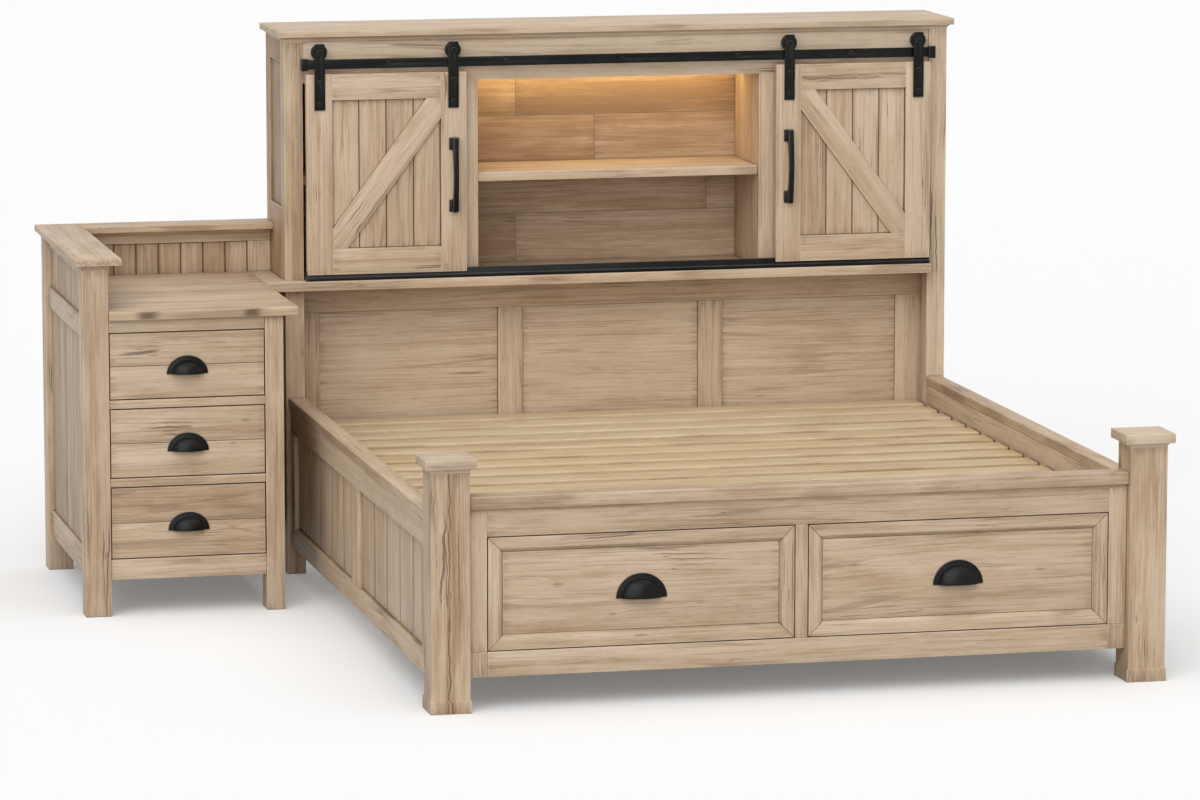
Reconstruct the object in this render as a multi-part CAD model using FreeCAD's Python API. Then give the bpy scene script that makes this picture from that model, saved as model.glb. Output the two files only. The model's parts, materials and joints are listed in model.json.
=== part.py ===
import FreeCAD, Part
import math
import os

# Storage bed with a bookcase headboard, sliding barn doors and a nightstand on its left side.
# Sizes are millimetres. X runs across the bed, Y from foot to head, Z up.
# The pieces are laid out from the bed's centre line, the front of the foot posts and the floor,
# and are moved at the end so that the origin is the middle of the whole piece's footprint.

V = FreeCAD.Vector
LEFT, RIGHT = -1, 1

# Mattress and its bay
MATTRESS_WIDTH = 1800.0
MATTRESS_LENGTH = 2000.0
MATTRESS_SIDE_GAP = 4.0
MATTRESS_END_GAP = 5.0

# Joinery
JOINT_GAP = 0.3
DRAWER_REVEAL = 2.5
RUNNING_GAP = 0.3
GROOVE_CHAMFER = 2.5
BOLT_HOLE_GAP = 0.3

# Foot posts and their caps
POST_WIDTH = 98.0
POST_CAP_TOP = 638.0
POST_CAP_SLAB = 24.0
POST_CAP_COVE = 12.0
POST_CAP_OVERHANG = 16.0
POST_PROUD_OF_RAIL = 7.0
PLINTH_HEIGHT = 34.0
PLINTH_PROUD = 3.0
PLINTH_CHAMFER = 2.7

# Footboard face
FOOT_SETBACK = 24.0
FOOT_FRAME_THICK = 32.0
FOOT_BOTTOM = 84.0
FOOT_BOTTOM_RAIL = 64.0
FOOT_CAP_TOP = 540.0
FOOT_CAP_THICK = 31.0
FOOT_CAP_FRONT = 14.0
FOOT_CAP_BACK = 12.0
FOOT_CAP_COVE = 11.0
FOOT_END_STILE = 48.0
FOOT_CENTRE_STILE = 32.0
FOOT_DRAWER_OPENING = 289.0

# Footboard drawers
FOOT_FRONT_THICK = 22.0
FOOT_FRONT_MEMBER = 38.0
FOOT_FRONT_BEVEL = 9.0
FOOT_PANEL_RECESS = 9.0
FOOT_PANEL_THICK = 9.0
FOOT_BOX_DEPTH = 680.0
FOOT_BOX_HEIGHT = 190.0
FOOT_BOX_LIFT = 12.0
FOOT_BOX_SIDE_GAP = 5.0
FOOT_CASE_DEPTH = 760.0
FOOT_PULL_WIDTH = 108.0
FOOT_PULL_HEIGHT = 51.0

# Drawer boxes and what they run on
BOX_WALL = 14.0
BOX_BOTTOM_THICK = 8.0
BOX_BOTTOM_LIFT = 10.0
RUNNER_WIDTH = 20.0
RUNNER_HEIGHT = 20.0
KICKER_GAP = 2.0

# Cup pulls
PULL_PROJECTION = 27.0
PULL_WALL = 2.5
PULL_PLATE = 3.5
PULL_PLATE_RIM = 11.0

# Side rails
SIDE_FRAME_THICK = 40.0
SIDE_BOTTOM = 80.0
SIDE_BOTTOM_RAIL = 56.0
SIDE_TOP_RAIL = 70.0
SIDE_CAP_TOP = 500.0
SIDE_CAP_THICK = 26.0
SIDE_CAP_OVERHANG = 6.0
SIDE_END_STILE = 56.0
SIDE_MID_STILE = 100.0
SIDE_PANEL_RECESS = 12.0
SIDE_PANEL_THICK = 12.0
SIDE_BOARDS_PER_BAY = 5

# Slat deck
SLAT_TOP = 420.0
SLAT_THICK = 20.0
SLAT_WIDTH = 90.0
SLAT_COUNT = 15
SLAT_END_GAP = 4.0
SLAT_FROM_POST = 8.0
SLAT_TO_HEAD = 14.0
CLEAT_WIDTH = 30.0
CLEAT_HEIGHT = 40.0
CASE_PANEL_THICK = 18.0
CASE_BOTTOM = 100.0
SUPPORT_FOOT = 44.0
SUPPORT_FOOT_INSET = 130.0
CENTRE_FEET = 3

# Fasteners between rails and posts
BRACKET_LEG = 44.0
BRACKET_HEIGHT = 110.0
BRACKET_THICK = 3.0
BRACKET_LOW = 200.0
BED_BOLT_RADIUS = 5.0
BED_BOLT_HEAD_RADIUS = 9.0
BED_BOLT_HEAD = 6.0
BED_BOLT_REACH = 60.0
BED_BOLT_HEIGHTS = (180.0, 350.0)

# Headboard case
HEAD_DEPTH = 290.0
HEAD_PANEL_RECESS = 108.0
HEAD_POST_FACE = 52.0
HEAD_POST_DEPTH = 54.0
HEAD_SIDE_THICK = 24.0
HEAD_SIDE_RECESS = 8.0
HEAD_SIDE_PANEL = 10.0
HEAD_SIDE_RAIL = 60.0
HEAD_SIDE_BOTTOM = 90.0
HEAD_SIDE_MID_RAIL = 210.0
HEAD_SIDE_MID_OVER_LEDGE = 200.0
CROWN_TOP = 1527.0
CROWN_SLAB = 18.0
CROWN_COVE = 13.0
CROWN_OVERHANG = 17.0
FACE_SETBACK = 4.0
HEADER_HEIGHT = 116.0
HEADER_THICK = 22.0
BACK_BOARD_THICK = 12.0
BACK_BOARD_HEIGHT = 140.0
BACK_BOARD_INSET = 6.0
BACK_BOARD_LINE = 1.2
BACK_BUTT_OFFSETS = (-240.0, 320.0, -10.0)

# Cubby and side compartments
PARTITION_THICK = 22.0
JAMB_WIDTH = 52.0
JAMB_DEPTH = 22.0
SHELF_OVER_LEDGE = 288.0
SHELF_THICK = 25.0
SHELF_SETBACK = 8.0
SIDE_SHELF_SETBACK = 30.0
CEILING_THICK = 16.0
CEILING_LIFT = 20.0

# Ledge and the panels under it
LEDGE_TOP = 830.0
LEDGE_THICK = 26.0
LEDGE_OVERHANG = 41.0
LOWER_FRAME_THICK = 24.0
LOWER_RAIL = 80.0
LOWER_BOTTOM = 200.0
LOWER_END_STILE = 90.0
LOWER_MID_STILE = 70.0
LOWER_BAYS = 3
LOWER_PANEL_RECESS = 7.0
LOWER_PANEL_THICK = 10.0

# Light under the cubby's ceiling
LED_END_GAP = 16.0
LED_WIDTH = 16.0
LED_HEIGHT = 10.0
LED_WALL = 1.5
LED_LENS = 2.0
LED_FROM_BACK = 45.0
INLET_WIDTH = 34.0
INLET_HEIGHT = 24.0
INLET_PLATE = 3.0
INLET_BARREL_RADIUS = 6.0
INLET_BORE_RADIUS = 3.0
INLET_END_WALL = 2.5
INLET_BELOW_CROWN = 56.0

# Barn door track
TRACK_OVER_POST = 9.0
TRACK_BELOW_CROWN = 48.0
TRACK_HEIGHT = 27.0
TRACK_THICK = 6.0
TRACK_STANDOFF = 26.0
TRACK_BOLTS = 5
TRACK_BOLT_INSET = 227.0
TRACK_BOLT_RADIUS = 4.0
TRACK_BOLT_HEAD_RADIUS = 6.5
TRACK_BOLT_HEAD = 2.6
TRACK_BOLT_REACH = 16.0
SPACER_RADIUS = 9.0
STOP_LENGTH = 20.0
STOP_WALL = 5.0
STOP_RISE = 3.0
STOP_LIP = 4.0

# Barn doors
DOOR_WIDTH = 452.0
DOOR_OVER_JAMB = 11.0
DOOR_OVER_LEDGE = 18.0
DOOR_BELOW_TRACK = 14.0
DOOR_THICK = 22.0
DOOR_SIDE_GAP = 5.0
DOOR_BACK_GAP = 14.0
DOOR_STILE = 72.0
DOOR_RAIL = 72.0
DOOR_PLANKS = 4
DOOR_PLANK_THICK = 12.0
DOOR_BRACE = 66.0
GUIDE_WIDTH = 14.0
GUIDE_HEIGHT = 10.0
GUIDE_FIN = 4.0
GUIDE_FIN_RISE = 18.0
GUIDE_SLOT_GAP = 2.0
GUIDE_END_GAP = 2.0

# Hangers and wheels; shares are of the door's height, and of a strap's lap on it
STRAP_WIDTH = 29.0
STRAP_THICK = 5.0
STRAP_LAP_SHARE = 0.177
STRAP_OVER_WHEEL = 1.0
STRAP_CORNER = 5.0
STRAP_INSET = 37.0
STRAP_BOLT_PITCH_SHARE = 0.6
STRAP_BOLT_LOW_SHARE = 0.188
STRAP_BOLT_RADIUS = 3.5
STRAP_BOLT_HEAD_RADIUS = 7.0
STRAP_BOLT_HEAD = 4.0
WHEEL_TREAD_RADIUS = 20.0
WHEEL_FLANGE = 2.7
WHEEL_WIDTH = 10.0
WHEEL_SIDE_GAP = 0.3
AXLE_RADIUS = 4.0
AXLE_FIT = 0.05
AXLE_HEAD_RADIUS = 8.5
AXLE_HEAD = 4.0
AXLE_NUT = 3.5
AXLE_NUT_RADIUS = 6.5

# Door handles; shares are of the door's height
HANDLE_SHARE = 0.372
HANDLE_DROP_SHARE = 0.014
HANDLE_PROJECTION = 38.0
HANDLE_BAR = 9.0
HANDLE_WIDTH = 15.0
HANDLE_RISE = 16.0
HANDLE_FOOT_WIDTH = 28.0
HANDLE_FOOT_HEIGHT = 34.0
HANDLE_FOOT_THICK = 4.0

# Nightstand
STAND_WIDTH = 544.0
STAND_DEPTH = 812.0
STAND_GAP = 104.0
STAND_LEG = 70.0
STAND_RIGHT_LEG = 50.0
STAND_TOP_THICK = 24.0
STAND_TOP_OVERHANG = 18.0
STAND_TOP_SIDE_OVERHANG = 38.0
STAND_FACE_SETBACK = 3.0
STAND_RAIL_THICK = 24.0
STAND_RAIL_INSET = 11.0
STAND_BOTTOM = 99.0
STAND_BOTTOM_RAIL = 56.0
STAND_DIVIDER = 23.0
STAND_OPENINGS = (197.0, 190.0, 183.0)
STAND_FRONT_THICK = 22.0
STAND_BOX_DEPTH = 620.0
STAND_BOX_LIFT = 10.0
STAND_BOX_HEADROOM = 34.0
STAND_BOX_SIDE_GAP = 4.0
STAND_PULL_WIDTH = 90.0
STAND_PULL_HEIGHT = 38.0
STAND_SIDE_BOTTOM_RAIL = 70.0
STAND_SIDE_MID_RAIL = 58.0
STAND_SIDE_MID_DROP = 26.0
STAND_PANEL_THICK = 12.0
STAND_PANEL_RECESS = 8.0
STAND_SIDE_BOARDS = 5
STAND_GALLERY_BOARDS = 8

# Gallery round the nightstand's top
GALLERY_HEIGHT = 142.0
GALLERY_CAP_THICK = 17.0
GALLERY_COVE = 12.0
GALLERY_OVERHANG = 18.0
GALLERY_INNER_OVERHANG = 35.0
GALLERY_RAIL = 26.0
GALLERY_STILE = 66.0

# Places that follow from the sizes above
BAY_HALF = MATTRESS_WIDTH / 2 + MATTRESS_SIDE_GAP
SIDE_OUTER = BAY_HALF + SIDE_FRAME_THICK
HALF_WIDTH = SIDE_OUTER + POST_PROUD_OF_RAIL
POST_INNER = HALF_WIDTH - POST_WIDTH
POST_TOP = POST_CAP_TOP - POST_CAP_SLAB - POST_CAP_COVE
FOOT_BACK = FOOT_SETBACK + FOOT_FRAME_THICK
FOOT_CAP_BOTTOM = FOOT_CAP_TOP - FOOT_CAP_THICK
FOOT_OPENING_LOW = FOOT_BOTTOM + FOOT_BOTTOM_RAIL
FOOT_OPENING_HIGH = FOOT_OPENING_LOW + FOOT_DRAWER_OPENING
FOOT_OPENING_IN = FOOT_CENTRE_STILE / 2
FOOT_OPENING_OUT = POST_INNER - FOOT_END_STILE
BAY_FRONT = max(FOOT_BACK + FOOT_CAP_BACK, POST_WIDTH)
BAY_BACK = BAY_FRONT + MATTRESS_LENGTH + 2 * MATTRESS_END_GAP
HEAD_FRONT = BAY_BACK - HEAD_PANEL_RECESS
HEAD_BACK = HEAD_FRONT + HEAD_DEPTH
FRAME_FACE = HEAD_FRONT + FACE_SETBACK
HEAD_INNER = BAY_HALF
HEAD_HALF = HEAD_INNER + HEAD_POST_FACE
SIDE_CAP_BOTTOM = SIDE_CAP_TOP - SIDE_CAP_THICK
SLAT_BOTTOM = SLAT_TOP - SLAT_THICK
CROWN_BASE = CROWN_TOP - CROWN_SLAB - CROWN_COVE
BACK_FACE = HEAD_BACK - BACK_BOARD_INSET - BACK_BOARD_THICK
HEADER_BOTTOM = CROWN_BASE - HEADER_HEIGHT
SHELF_TOP = LEDGE_TOP + SHELF_OVER_LEDGE
HEAD_SIDE_MID_TOP = LEDGE_TOP + HEAD_SIDE_MID_OVER_LEDGE
INLET_Z = CROWN_BASE - INLET_BELOW_CROWN
LEDGE_BOTTOM = LEDGE_TOP - LEDGE_THICK
LEDGE_FRONT = HEAD_FRONT - LEDGE_OVERHANG
TRACK_HALF = HEAD_INNER + TRACK_OVER_POST
TRACK_TOP = CROWN_BASE - TRACK_BELOW_CROWN
TRACK_BOTTOM = TRACK_TOP - TRACK_HEIGHT
DOOR_BOTTOM = LEDGE_TOP + DOOR_OVER_LEDGE
DOOR_TOP = TRACK_BOTTOM - DOOR_BELOW_TRACK
DOOR_HEIGHT = DOOR_TOP - DOOR_BOTTOM
HANDLE_HEIGHT = HANDLE_SHARE * DOOR_HEIGHT
HANDLE_MIDDLE = (DOOR_BOTTOM + DOOR_TOP) / 2 - HANDLE_DROP_SHARE * DOOR_HEIGHT
DOOR_OUTER = HEAD_INNER - DOOR_SIDE_GAP
DOOR_INNER = DOOR_OUTER - DOOR_WIDTH
CUBBY_HALF = DOOR_INNER + DOOR_OVER_JAMB - JAMB_WIDTH
DOOR_BACK = HEAD_FRONT - DOOR_BACK_GAP
DOOR_FRONT = DOOR_BACK - DOOR_THICK
TRACK_BACK = HEAD_FRONT - TRACK_STANDOFF
TRACK_FRONT = TRACK_BACK - TRACK_THICK
TRACK_MIDDLE = TRACK_TOP - TRACK_HEIGHT / 2
GUIDE_MIDDLE = DOOR_BACK - DOOR_THICK / 2
WHEEL_MIDDLE = TRACK_BACK - TRACK_THICK / 2
AXLE_Z = TRACK_TOP + WHEEL_TREAD_RADIUS + RUNNING_GAP
STRAP_LAP = STRAP_LAP_SHARE * DOOR_HEIGHT
STRAP_BOTTOM = DOOR_TOP - STRAP_LAP
STRAP_TOP = AXLE_Z + WHEEL_TREAD_RADIUS + WHEEL_FLANGE + STRAP_OVER_WHEEL
STAND_RIGHT = -(HALF_WIDTH + STAND_GAP)
STAND_LEFT = STAND_RIGHT - STAND_WIDTH
STAND_FRONT = HEAD_BACK - STAND_DEPTH
STAND_FACE = STAND_FRONT + STAND_FACE_SETBACK
STAND_TOP_BOTTOM = LEDGE_TOP - STAND_TOP_THICK
STAND_OPENING = (STAND_LEFT + STAND_LEG, STAND_RIGHT - STAND_RIGHT_LEG)
GALLERY_TOP = LEDGE_TOP + GALLERY_HEIGHT
GALLERY_POST_TOP = GALLERY_TOP - GALLERY_CAP_THICK - GALLERY_COVE
GALLERY_FACE = HEAD_BACK - STAND_LEG + STAND_RAIL_INSET
STAND_TOP_RIGHT = STAND_RIGHT + STAND_TOP_SIDE_OVERHANG

FOOTPRINT_LEFT = STAND_LEFT - GALLERY_OVERHANG
FOOTPRINT_RIGHT = max(HALF_WIDTH + POST_CAP_OVERHANG, HEAD_HALF + CROWN_OVERHANG)
FOOTPRINT_FRONT = -POST_CAP_OVERHANG
ORIGIN = V((FOOTPRINT_LEFT + FOOTPRINT_RIGHT) / 2, (FOOTPRINT_FRONT + HEAD_BACK) / 2, 0)

nodes = {}


def board(x, y, z):
    """A square-edged board between two places on each axis, given in any order."""
    low = V(min(x), min(y), min(z))
    return Part.makeBox(abs(x[1] - x[0]), abs(y[1] - y[0]), abs(z[1] - z[0]), low)


def prism(points, sweep):
    """The closed outline through the points, swept along a vector."""
    return Part.Face(Part.makePolygon(points + [points[0]])).extrude(sweep)


def rod(radius, start, direction, length):
    return Part.makeCylinder(radius, length, start, direction)


def sides(side, *places):
    """Distances from the centre line as X places on the left (-1) or right (1)."""
    return tuple(side * place for place in places)


def keep(name, *solids):
    nodes.setdefault(name, []).extend(solids)


def drill(name, hole):
    """Cuts a hole through the solids of a node that it meets."""
    nodes[name] = [s.cut(hole) if s.BoundBox.intersect(hole.BoundBox) else s for s in nodes[name]]


def coved_board(x, y, z, radius, edges):
    """A board whose lower edges, named by the side they face, are hollowed to a quarter circle."""
    shape = board(x, y, z)
    x0, x1, y0, y1 = min(x), max(x), min(y), max(y)
    along_y = y1 - y0 + 2 * radius
    along_x = x1 - x0 + 2 * radius
    cuts = {
        "left": rod(radius, V(x0, y0 - radius, min(z)), V(0, 1, 0), along_y),
        "right": rod(radius, V(x1, y0 - radius, min(z)), V(0, 1, 0), along_y),
        "front": rod(radius, V(x0 - radius, y0, min(z)), V(1, 0, 0), along_x),
        "back": rod(radius, V(x0 - radius, y1, min(z)), V(1, 0, 0), along_x),
    }
    for edge in edges:
        shape = shape.cut(cuts[edge])
    return shape


def plank(place, face, back, z, across):
    """An upright board whose two face edges are chamfered; across is the axis its width runs along."""
    start, end = place
    chamfer = GROOVE_CHAMFER if back > face else -GROOVE_CHAMFER
    outline = [
        (start, back), (end, back), (end, face + chamfer), (end - GROOVE_CHAMFER, face),
        (start + GROOVE_CHAMFER, face), (start, face + chamfer),
    ]
    if across == "x":
        points = [V(u, w, z[0]) for u, w in outline]
    else:
        points = [V(w, u, z[0]) for u, w in outline]
    return prism(points, V(0, 0, z[1] - z[0]))


def plank_row(span, count, face, back, z, across):
    """Equal planks side by side, with a joint gap at both ends and between neighbours."""
    start, end = min(span), max(span)
    pitch = (end - start - JOINT_GAP) / count
    low, high = z[0] + JOINT_GAP, z[1] - JOINT_GAP
    row = []
    for i in range(count):
        first = start + JOINT_GAP + i * pitch
        row.append(plank((first, first + pitch - JOINT_GAP), face, back, (low, high), across))
    return row


def cup_pull(width, height, x, face, z):
    """A hollow quarter-ellipsoid hood, open below, on a thin half-round plate."""
    def scaled(shape, radius, half_width, depth):
        matrix = FreeCAD.Matrix()
        matrix.scale(half_width / radius, depth / radius, 1.0)
        return shape.transformGeometry(matrix)

    inner_height = height - PULL_WALL
    outer = scaled(Part.makeSphere(height), height, width / 2, PULL_PROJECTION)
    inner = scaled(Part.makeSphere(inner_height), inner_height, width / 2 - PULL_WALL,
                   PULL_PROJECTION - PULL_WALL)
    front = board((-width, width), (-2 * PULL_PROJECTION, -PULL_PLATE), (0, 2 * height))
    hood = outer.cut(inner).common(front)
    plate_height = height + PULL_PLATE_RIM
    disc = rod(plate_height, V(0, -PULL_PLATE, 0), V(0, 1, 0), PULL_PLATE)
    plate = scaled(disc, plate_height, width / 2 + PULL_PLATE_RIM, plate_height)
    plate = plate.common(board((-width, width), (-PULL_PLATE, 0), (0, 2 * height)))
    pull = hood.fuse(plate)
    pull.translate(V(x, face, z))
    return pull


def drawer_box(x, front, depth, z):
    """Box front, sides, back and raised bottom of a drawer, as separate boards."""
    x0, x1 = min(x), max(x)
    inside = (x0 + BOX_WALL + JOINT_GAP, x1 - BOX_WALL - JOINT_GAP)
    back = front + depth
    floor = z[0] + BOX_BOTTOM_LIFT
    return [
        board((x0, x0 + BOX_WALL), (front, back), z),
        board((x1 - BOX_WALL, x1), (front, back), z),
        board(inside, (front, front + BOX_WALL), z),
        board(inside, (back - BOX_WALL, back), z),
        board(inside, (front + BOX_WALL + JOINT_GAP, back - BOX_WALL - JOINT_GAP),
              (floor, floor + BOX_BOTTOM_THICK)),
    ]


def drawer_guides(wall, inward, y, box_z):
    """The runner under one side of a drawer box and the kicker over it, both fixed to a wall."""
    x = (wall, wall + inward * RUNNER_WIDTH)
    runner_top = box_z[0] - RUNNING_GAP
    kicker_bottom = box_z[1] + KICKER_GAP
    return [
        board(x, y, (runner_top - RUNNER_HEIGHT, runner_top)),
        board(x, y, (kicker_bottom, kicker_bottom + RUNNER_HEIGHT)),
    ]


def foot_posts():
    for side in (LEFT, RIGHT):
        x = sides(side, POST_INNER, HALF_WIDTH)
        post = board(x, (0, POST_WIDTH), (0, POST_TOP))
        low_x, high_x = min(x) - PLINTH_PROUD, max(x) + PLINTH_PROUD
        plinth = board((low_x, high_x), (-PLINTH_PROUD, POST_WIDTH + PLINTH_PROUD), (0, PLINTH_HEIGHT))
        top_edges = [e for e in plinth.Edges if min(v.Z for v in e.Vertexes) > PLINTH_HEIGHT / 2]
        plinth = plinth.makeChamfer(PLINTH_CHAMFER, top_edges)
        keep("foot_posts", post.fuse(plinth).removeSplitter())

        slab = board((min(x) - POST_CAP_OVERHANG, max(x) + POST_CAP_OVERHANG),
                     (-POST_CAP_OVERHANG, POST_WIDTH + POST_CAP_OVERHANG),
                     (POST_CAP_TOP - POST_CAP_SLAB, POST_CAP_TOP))
        cove = coved_board((min(x) - POST_CAP_COVE, max(x) + POST_CAP_COVE),
                           (-POST_CAP_COVE, POST_WIDTH + POST_CAP_COVE),
                           (POST_TOP, POST_TOP + POST_CAP_COVE), POST_CAP_COVE,
                           ("left", "right", "front", "back"))
        keep("foot_post_caps", slab.fuse(cove).removeSplitter())


def foot_face():
    y = (FOOT_SETBACK, FOOT_BACK)
    reach = POST_INNER - JOINT_GAP
    rail = FOOT_OPENING_OUT - JOINT_GAP
    keep("foot_frame",
         board((-rail, rail), y, (FOOT_OPENING_HIGH, FOOT_CAP_BOTTOM)),
         board((-rail, rail), y, (FOOT_BOTTOM, FOOT_OPENING_LOW)),
         board((-FOOT_OPENING_IN, FOOT_OPENING_IN), y,
               (FOOT_OPENING_LOW + JOINT_GAP, FOOT_OPENING_HIGH - JOINT_GAP)))
    for side in (LEFT, RIGHT):
        stile_x = sides(side, FOOT_OPENING_OUT, reach)
        keep("foot_frame",
             board(stile_x, y, (FOOT_OPENING_LOW + JOINT_GAP, FOOT_CAP_BOTTOM)),
             board(stile_x, y, (FOOT_BOTTOM, FOOT_OPENING_LOW)))

    front = FOOT_SETBACK - FOOT_CAP_FRONT
    slab = board((-reach, reach), (front, FOOT_BACK + FOOT_CAP_BACK), (FOOT_CAP_BOTTOM, FOOT_CAP_TOP))
    cove_low = FOOT_CAP_BOTTOM - FOOT_CAP_COVE
    cove = board((-reach, reach), (FOOT_SETBACK - FOOT_CAP_COVE, FOOT_SETBACK), (cove_low, FOOT_CAP_BOTTOM))
    hollow = rod(FOOT_CAP_COVE, V(-HALF_WIDTH, FOOT_SETBACK - FOOT_CAP_COVE, cove_low), V(1, 0, 0),
                 2 * HALF_WIDTH)
    keep("foot_rail_cap", slab.fuse(cove.cut(hollow)).removeSplitter())


def mitred_member(x, z, y, which):
    """One side of a picture-frame front: bevelled towards the panel and mitred at both ends."""
    x0, x1 = min(x), max(x)
    z0, z1 = z
    face, back = y
    width = FOOT_FRONT_MEMBER
    flat = width - FOOT_FRONT_BEVEL
    section = [(0, face), (flat, face), (width, face + FOOT_PANEL_RECESS), (width, back), (0, back)]
    if which in ("top", "bottom"):
        outer, inward = (z1, -1) if which == "top" else (z0, 1)
        bar = prism([V(x0, b, outer + inward * a) for a, b in section], V(x1 - x0, 0, 0))
        mitre = [V(x0 + JOINT_GAP, face, outer), V(x1 - JOINT_GAP, face, outer),
                 V(x1 - width - JOINT_GAP, face, outer + inward * width),
                 V(x0 + width + JOINT_GAP, face, outer + inward * width)]
    else:
        outer, inward = (x0, 1) if which == "left" else (x1, -1)
        bar = prism([V(outer + inward * a, b, z0) for a, b in section], V(0, 0, z1 - z0))
        mitre = [V(outer, face, z0 + JOINT_GAP), V(outer, face, z1 - JOINT_GAP),
                 V(outer + inward * width, face, z1 - width - JOINT_GAP),
                 V(outer + inward * width, face, z0 + width + JOINT_GAP)]
    return bar.common(prism(mitre, V(0, back - face, 0)))


def foot_drawers():
    low, high = FOOT_OPENING_LOW + DRAWER_REVEAL, FOOT_OPENING_HIGH - DRAWER_REVEAL
    box_low = low + FOOT_BOX_LIFT
    box_z = (box_low, box_low + FOOT_BOX_HEIGHT)
    face, back = FOOT_SETBACK, FOOT_SETBACK + FOOT_FRONT_THICK
    for side, name in ((LEFT, "left"), (RIGHT, "right")):
        x = sides(side, FOOT_OPENING_IN + DRAWER_REVEAL, FOOT_OPENING_OUT - DRAWER_REVEAL)
        for which in ("top", "bottom", "left", "right"):
            keep(f"foot_drawer_front_{name}", mitred_member(x, (low, high), (face, back), which))
        inset = FOOT_FRONT_MEMBER + JOINT_GAP
        panel_face = face + FOOT_PANEL_RECESS
        keep(f"foot_drawer_front_{name}",
             board((min(x) + inset, max(x) - inset), (panel_face, panel_face + FOOT_PANEL_THICK),
                   (low + inset, high - inset)))
        box_x = sides(side, FOOT_OPENING_IN + FOOT_BOX_SIDE_GAP, FOOT_OPENING_OUT - FOOT_BOX_SIDE_GAP)
        keep(f"foot_drawer_box_{name}", *drawer_box(box_x, back, FOOT_BOX_DEPTH, box_z))
        pull_z = (low + high - FOOT_PULL_HEIGHT) / 2
        keep(f"foot_pull_{name}",
             cup_pull(FOOT_PULL_WIDTH, FOOT_PULL_HEIGHT, sum(x) / 2, panel_face, pull_z))
        runner_y = (FOOT_BACK + JOINT_GAP, FOOT_BACK + FOOT_CASE_DEPTH)
        keep("drawer_runners",
             *drawer_guides(side * FOOT_OPENING_IN, side, runner_y, box_z),
             *drawer_guides(side * FOOT_OPENING_OUT, -side, runner_y, box_z))


def side_rails():
    y0, y1 = POST_WIDTH + JOINT_GAP, HEAD_FRONT - JOINT_GAP
    middle = (y0 + y1) / 2
    panel_low = SIDE_BOTTOM + SIDE_BOTTOM_RAIL
    panel_high = SIDE_CAP_BOTTOM - SIDE_TOP_RAIL
    stiles = ((y0, y0 + SIDE_END_STILE), (middle - SIDE_MID_STILE / 2, middle + SIDE_MID_STILE / 2),
              (y1 - SIDE_END_STILE, y1))
    for side in (LEFT, RIGHT):
        x = sides(side, BAY_HALF, SIDE_OUTER)
        keep("side_frames",
             board(x, (y0, y1), (panel_high, SIDE_CAP_BOTTOM - JOINT_GAP)),
             board(x, (y0, y1), (SIDE_BOTTOM, panel_low)))
        for stile in stiles:
            keep("side_frames", board(x, stile, (panel_low + JOINT_GAP, panel_high - JOINT_GAP)))
        face = side * (SIDE_OUTER - SIDE_PANEL_RECESS)
        back = face - side * SIDE_PANEL_THICK
        for first, second in zip(stiles, stiles[1:]):
            keep("side_panels", *plank_row((first[1], second[0]), SIDE_BOARDS_PER_BAY, face, back,
                                           (panel_low, panel_high), "y"))
        keep("side_caps", board(sides(side, BAY_HALF, SIDE_OUTER + SIDE_CAP_OVERHANG), (y0, y1),
                                (SIDE_CAP_BOTTOM, SIDE_CAP_TOP)))


def deck():
    slat_y0 = POST_WIDTH + SLAT_FROM_POST
    slat_y1 = BAY_BACK - SLAT_TO_HEAD
    pitch = (slat_y1 - slat_y0 - SLAT_WIDTH) / (SLAT_COUNT - 1)
    reach = BAY_HALF - SLAT_END_GAP
    for i in range(SLAT_COUNT):
        y = slat_y0 + i * pitch
        keep("slats", board((-reach, reach), (y, y + SLAT_WIDTH), (SLAT_BOTTOM, SLAT_TOP)))

    case_front = FOOT_BACK + JOINT_GAP
    case_back = FOOT_BACK + FOOT_CASE_DEPTH
    panel_z = (CASE_BOTTOM, SLAT_BOTTOM)
    panel_out = FOOT_OPENING_OUT + CASE_PANEL_THICK
    keep("deck_supports",
         board((-FOOT_OPENING_IN, FOOT_OPENING_IN), (case_front, slat_y1), panel_z))
    for side in (LEFT, RIGHT):
        keep("deck_supports",
             board(sides(side, BAY_HALF - CLEAT_WIDTH, BAY_HALF), (slat_y0, slat_y1),
                   (SLAT_BOTTOM - CLEAT_HEIGHT, SLAT_BOTTOM)),
             board(sides(side, FOOT_OPENING_OUT, panel_out), (case_front, case_back), panel_z),
             board(sides(side, FOOT_OPENING_IN + JOINT_GAP, panel_out),
                   (case_back + JOINT_GAP, case_back + CASE_PANEL_THICK), panel_z))

    foot_z = (0, CASE_BOTTOM)
    half = SUPPORT_FOOT / 2
    first, last = case_back - SUPPORT_FOOT_INSET, slat_y1 - SUPPORT_FOOT_INSET
    step = (last - first) / (CENTRE_FEET - 1)
    for i in range(CENTRE_FEET):
        y = first + i * step
        keep("support_feet", board((-half, half), (y - half, y + half), foot_z))
    for side in (LEFT, RIGHT):
        x = FOOT_OPENING_OUT + CASE_PANEL_THICK / 2
        keep("support_feet", board(sides(side, x - half, x + half), (first - half, first + half), foot_z))


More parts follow.
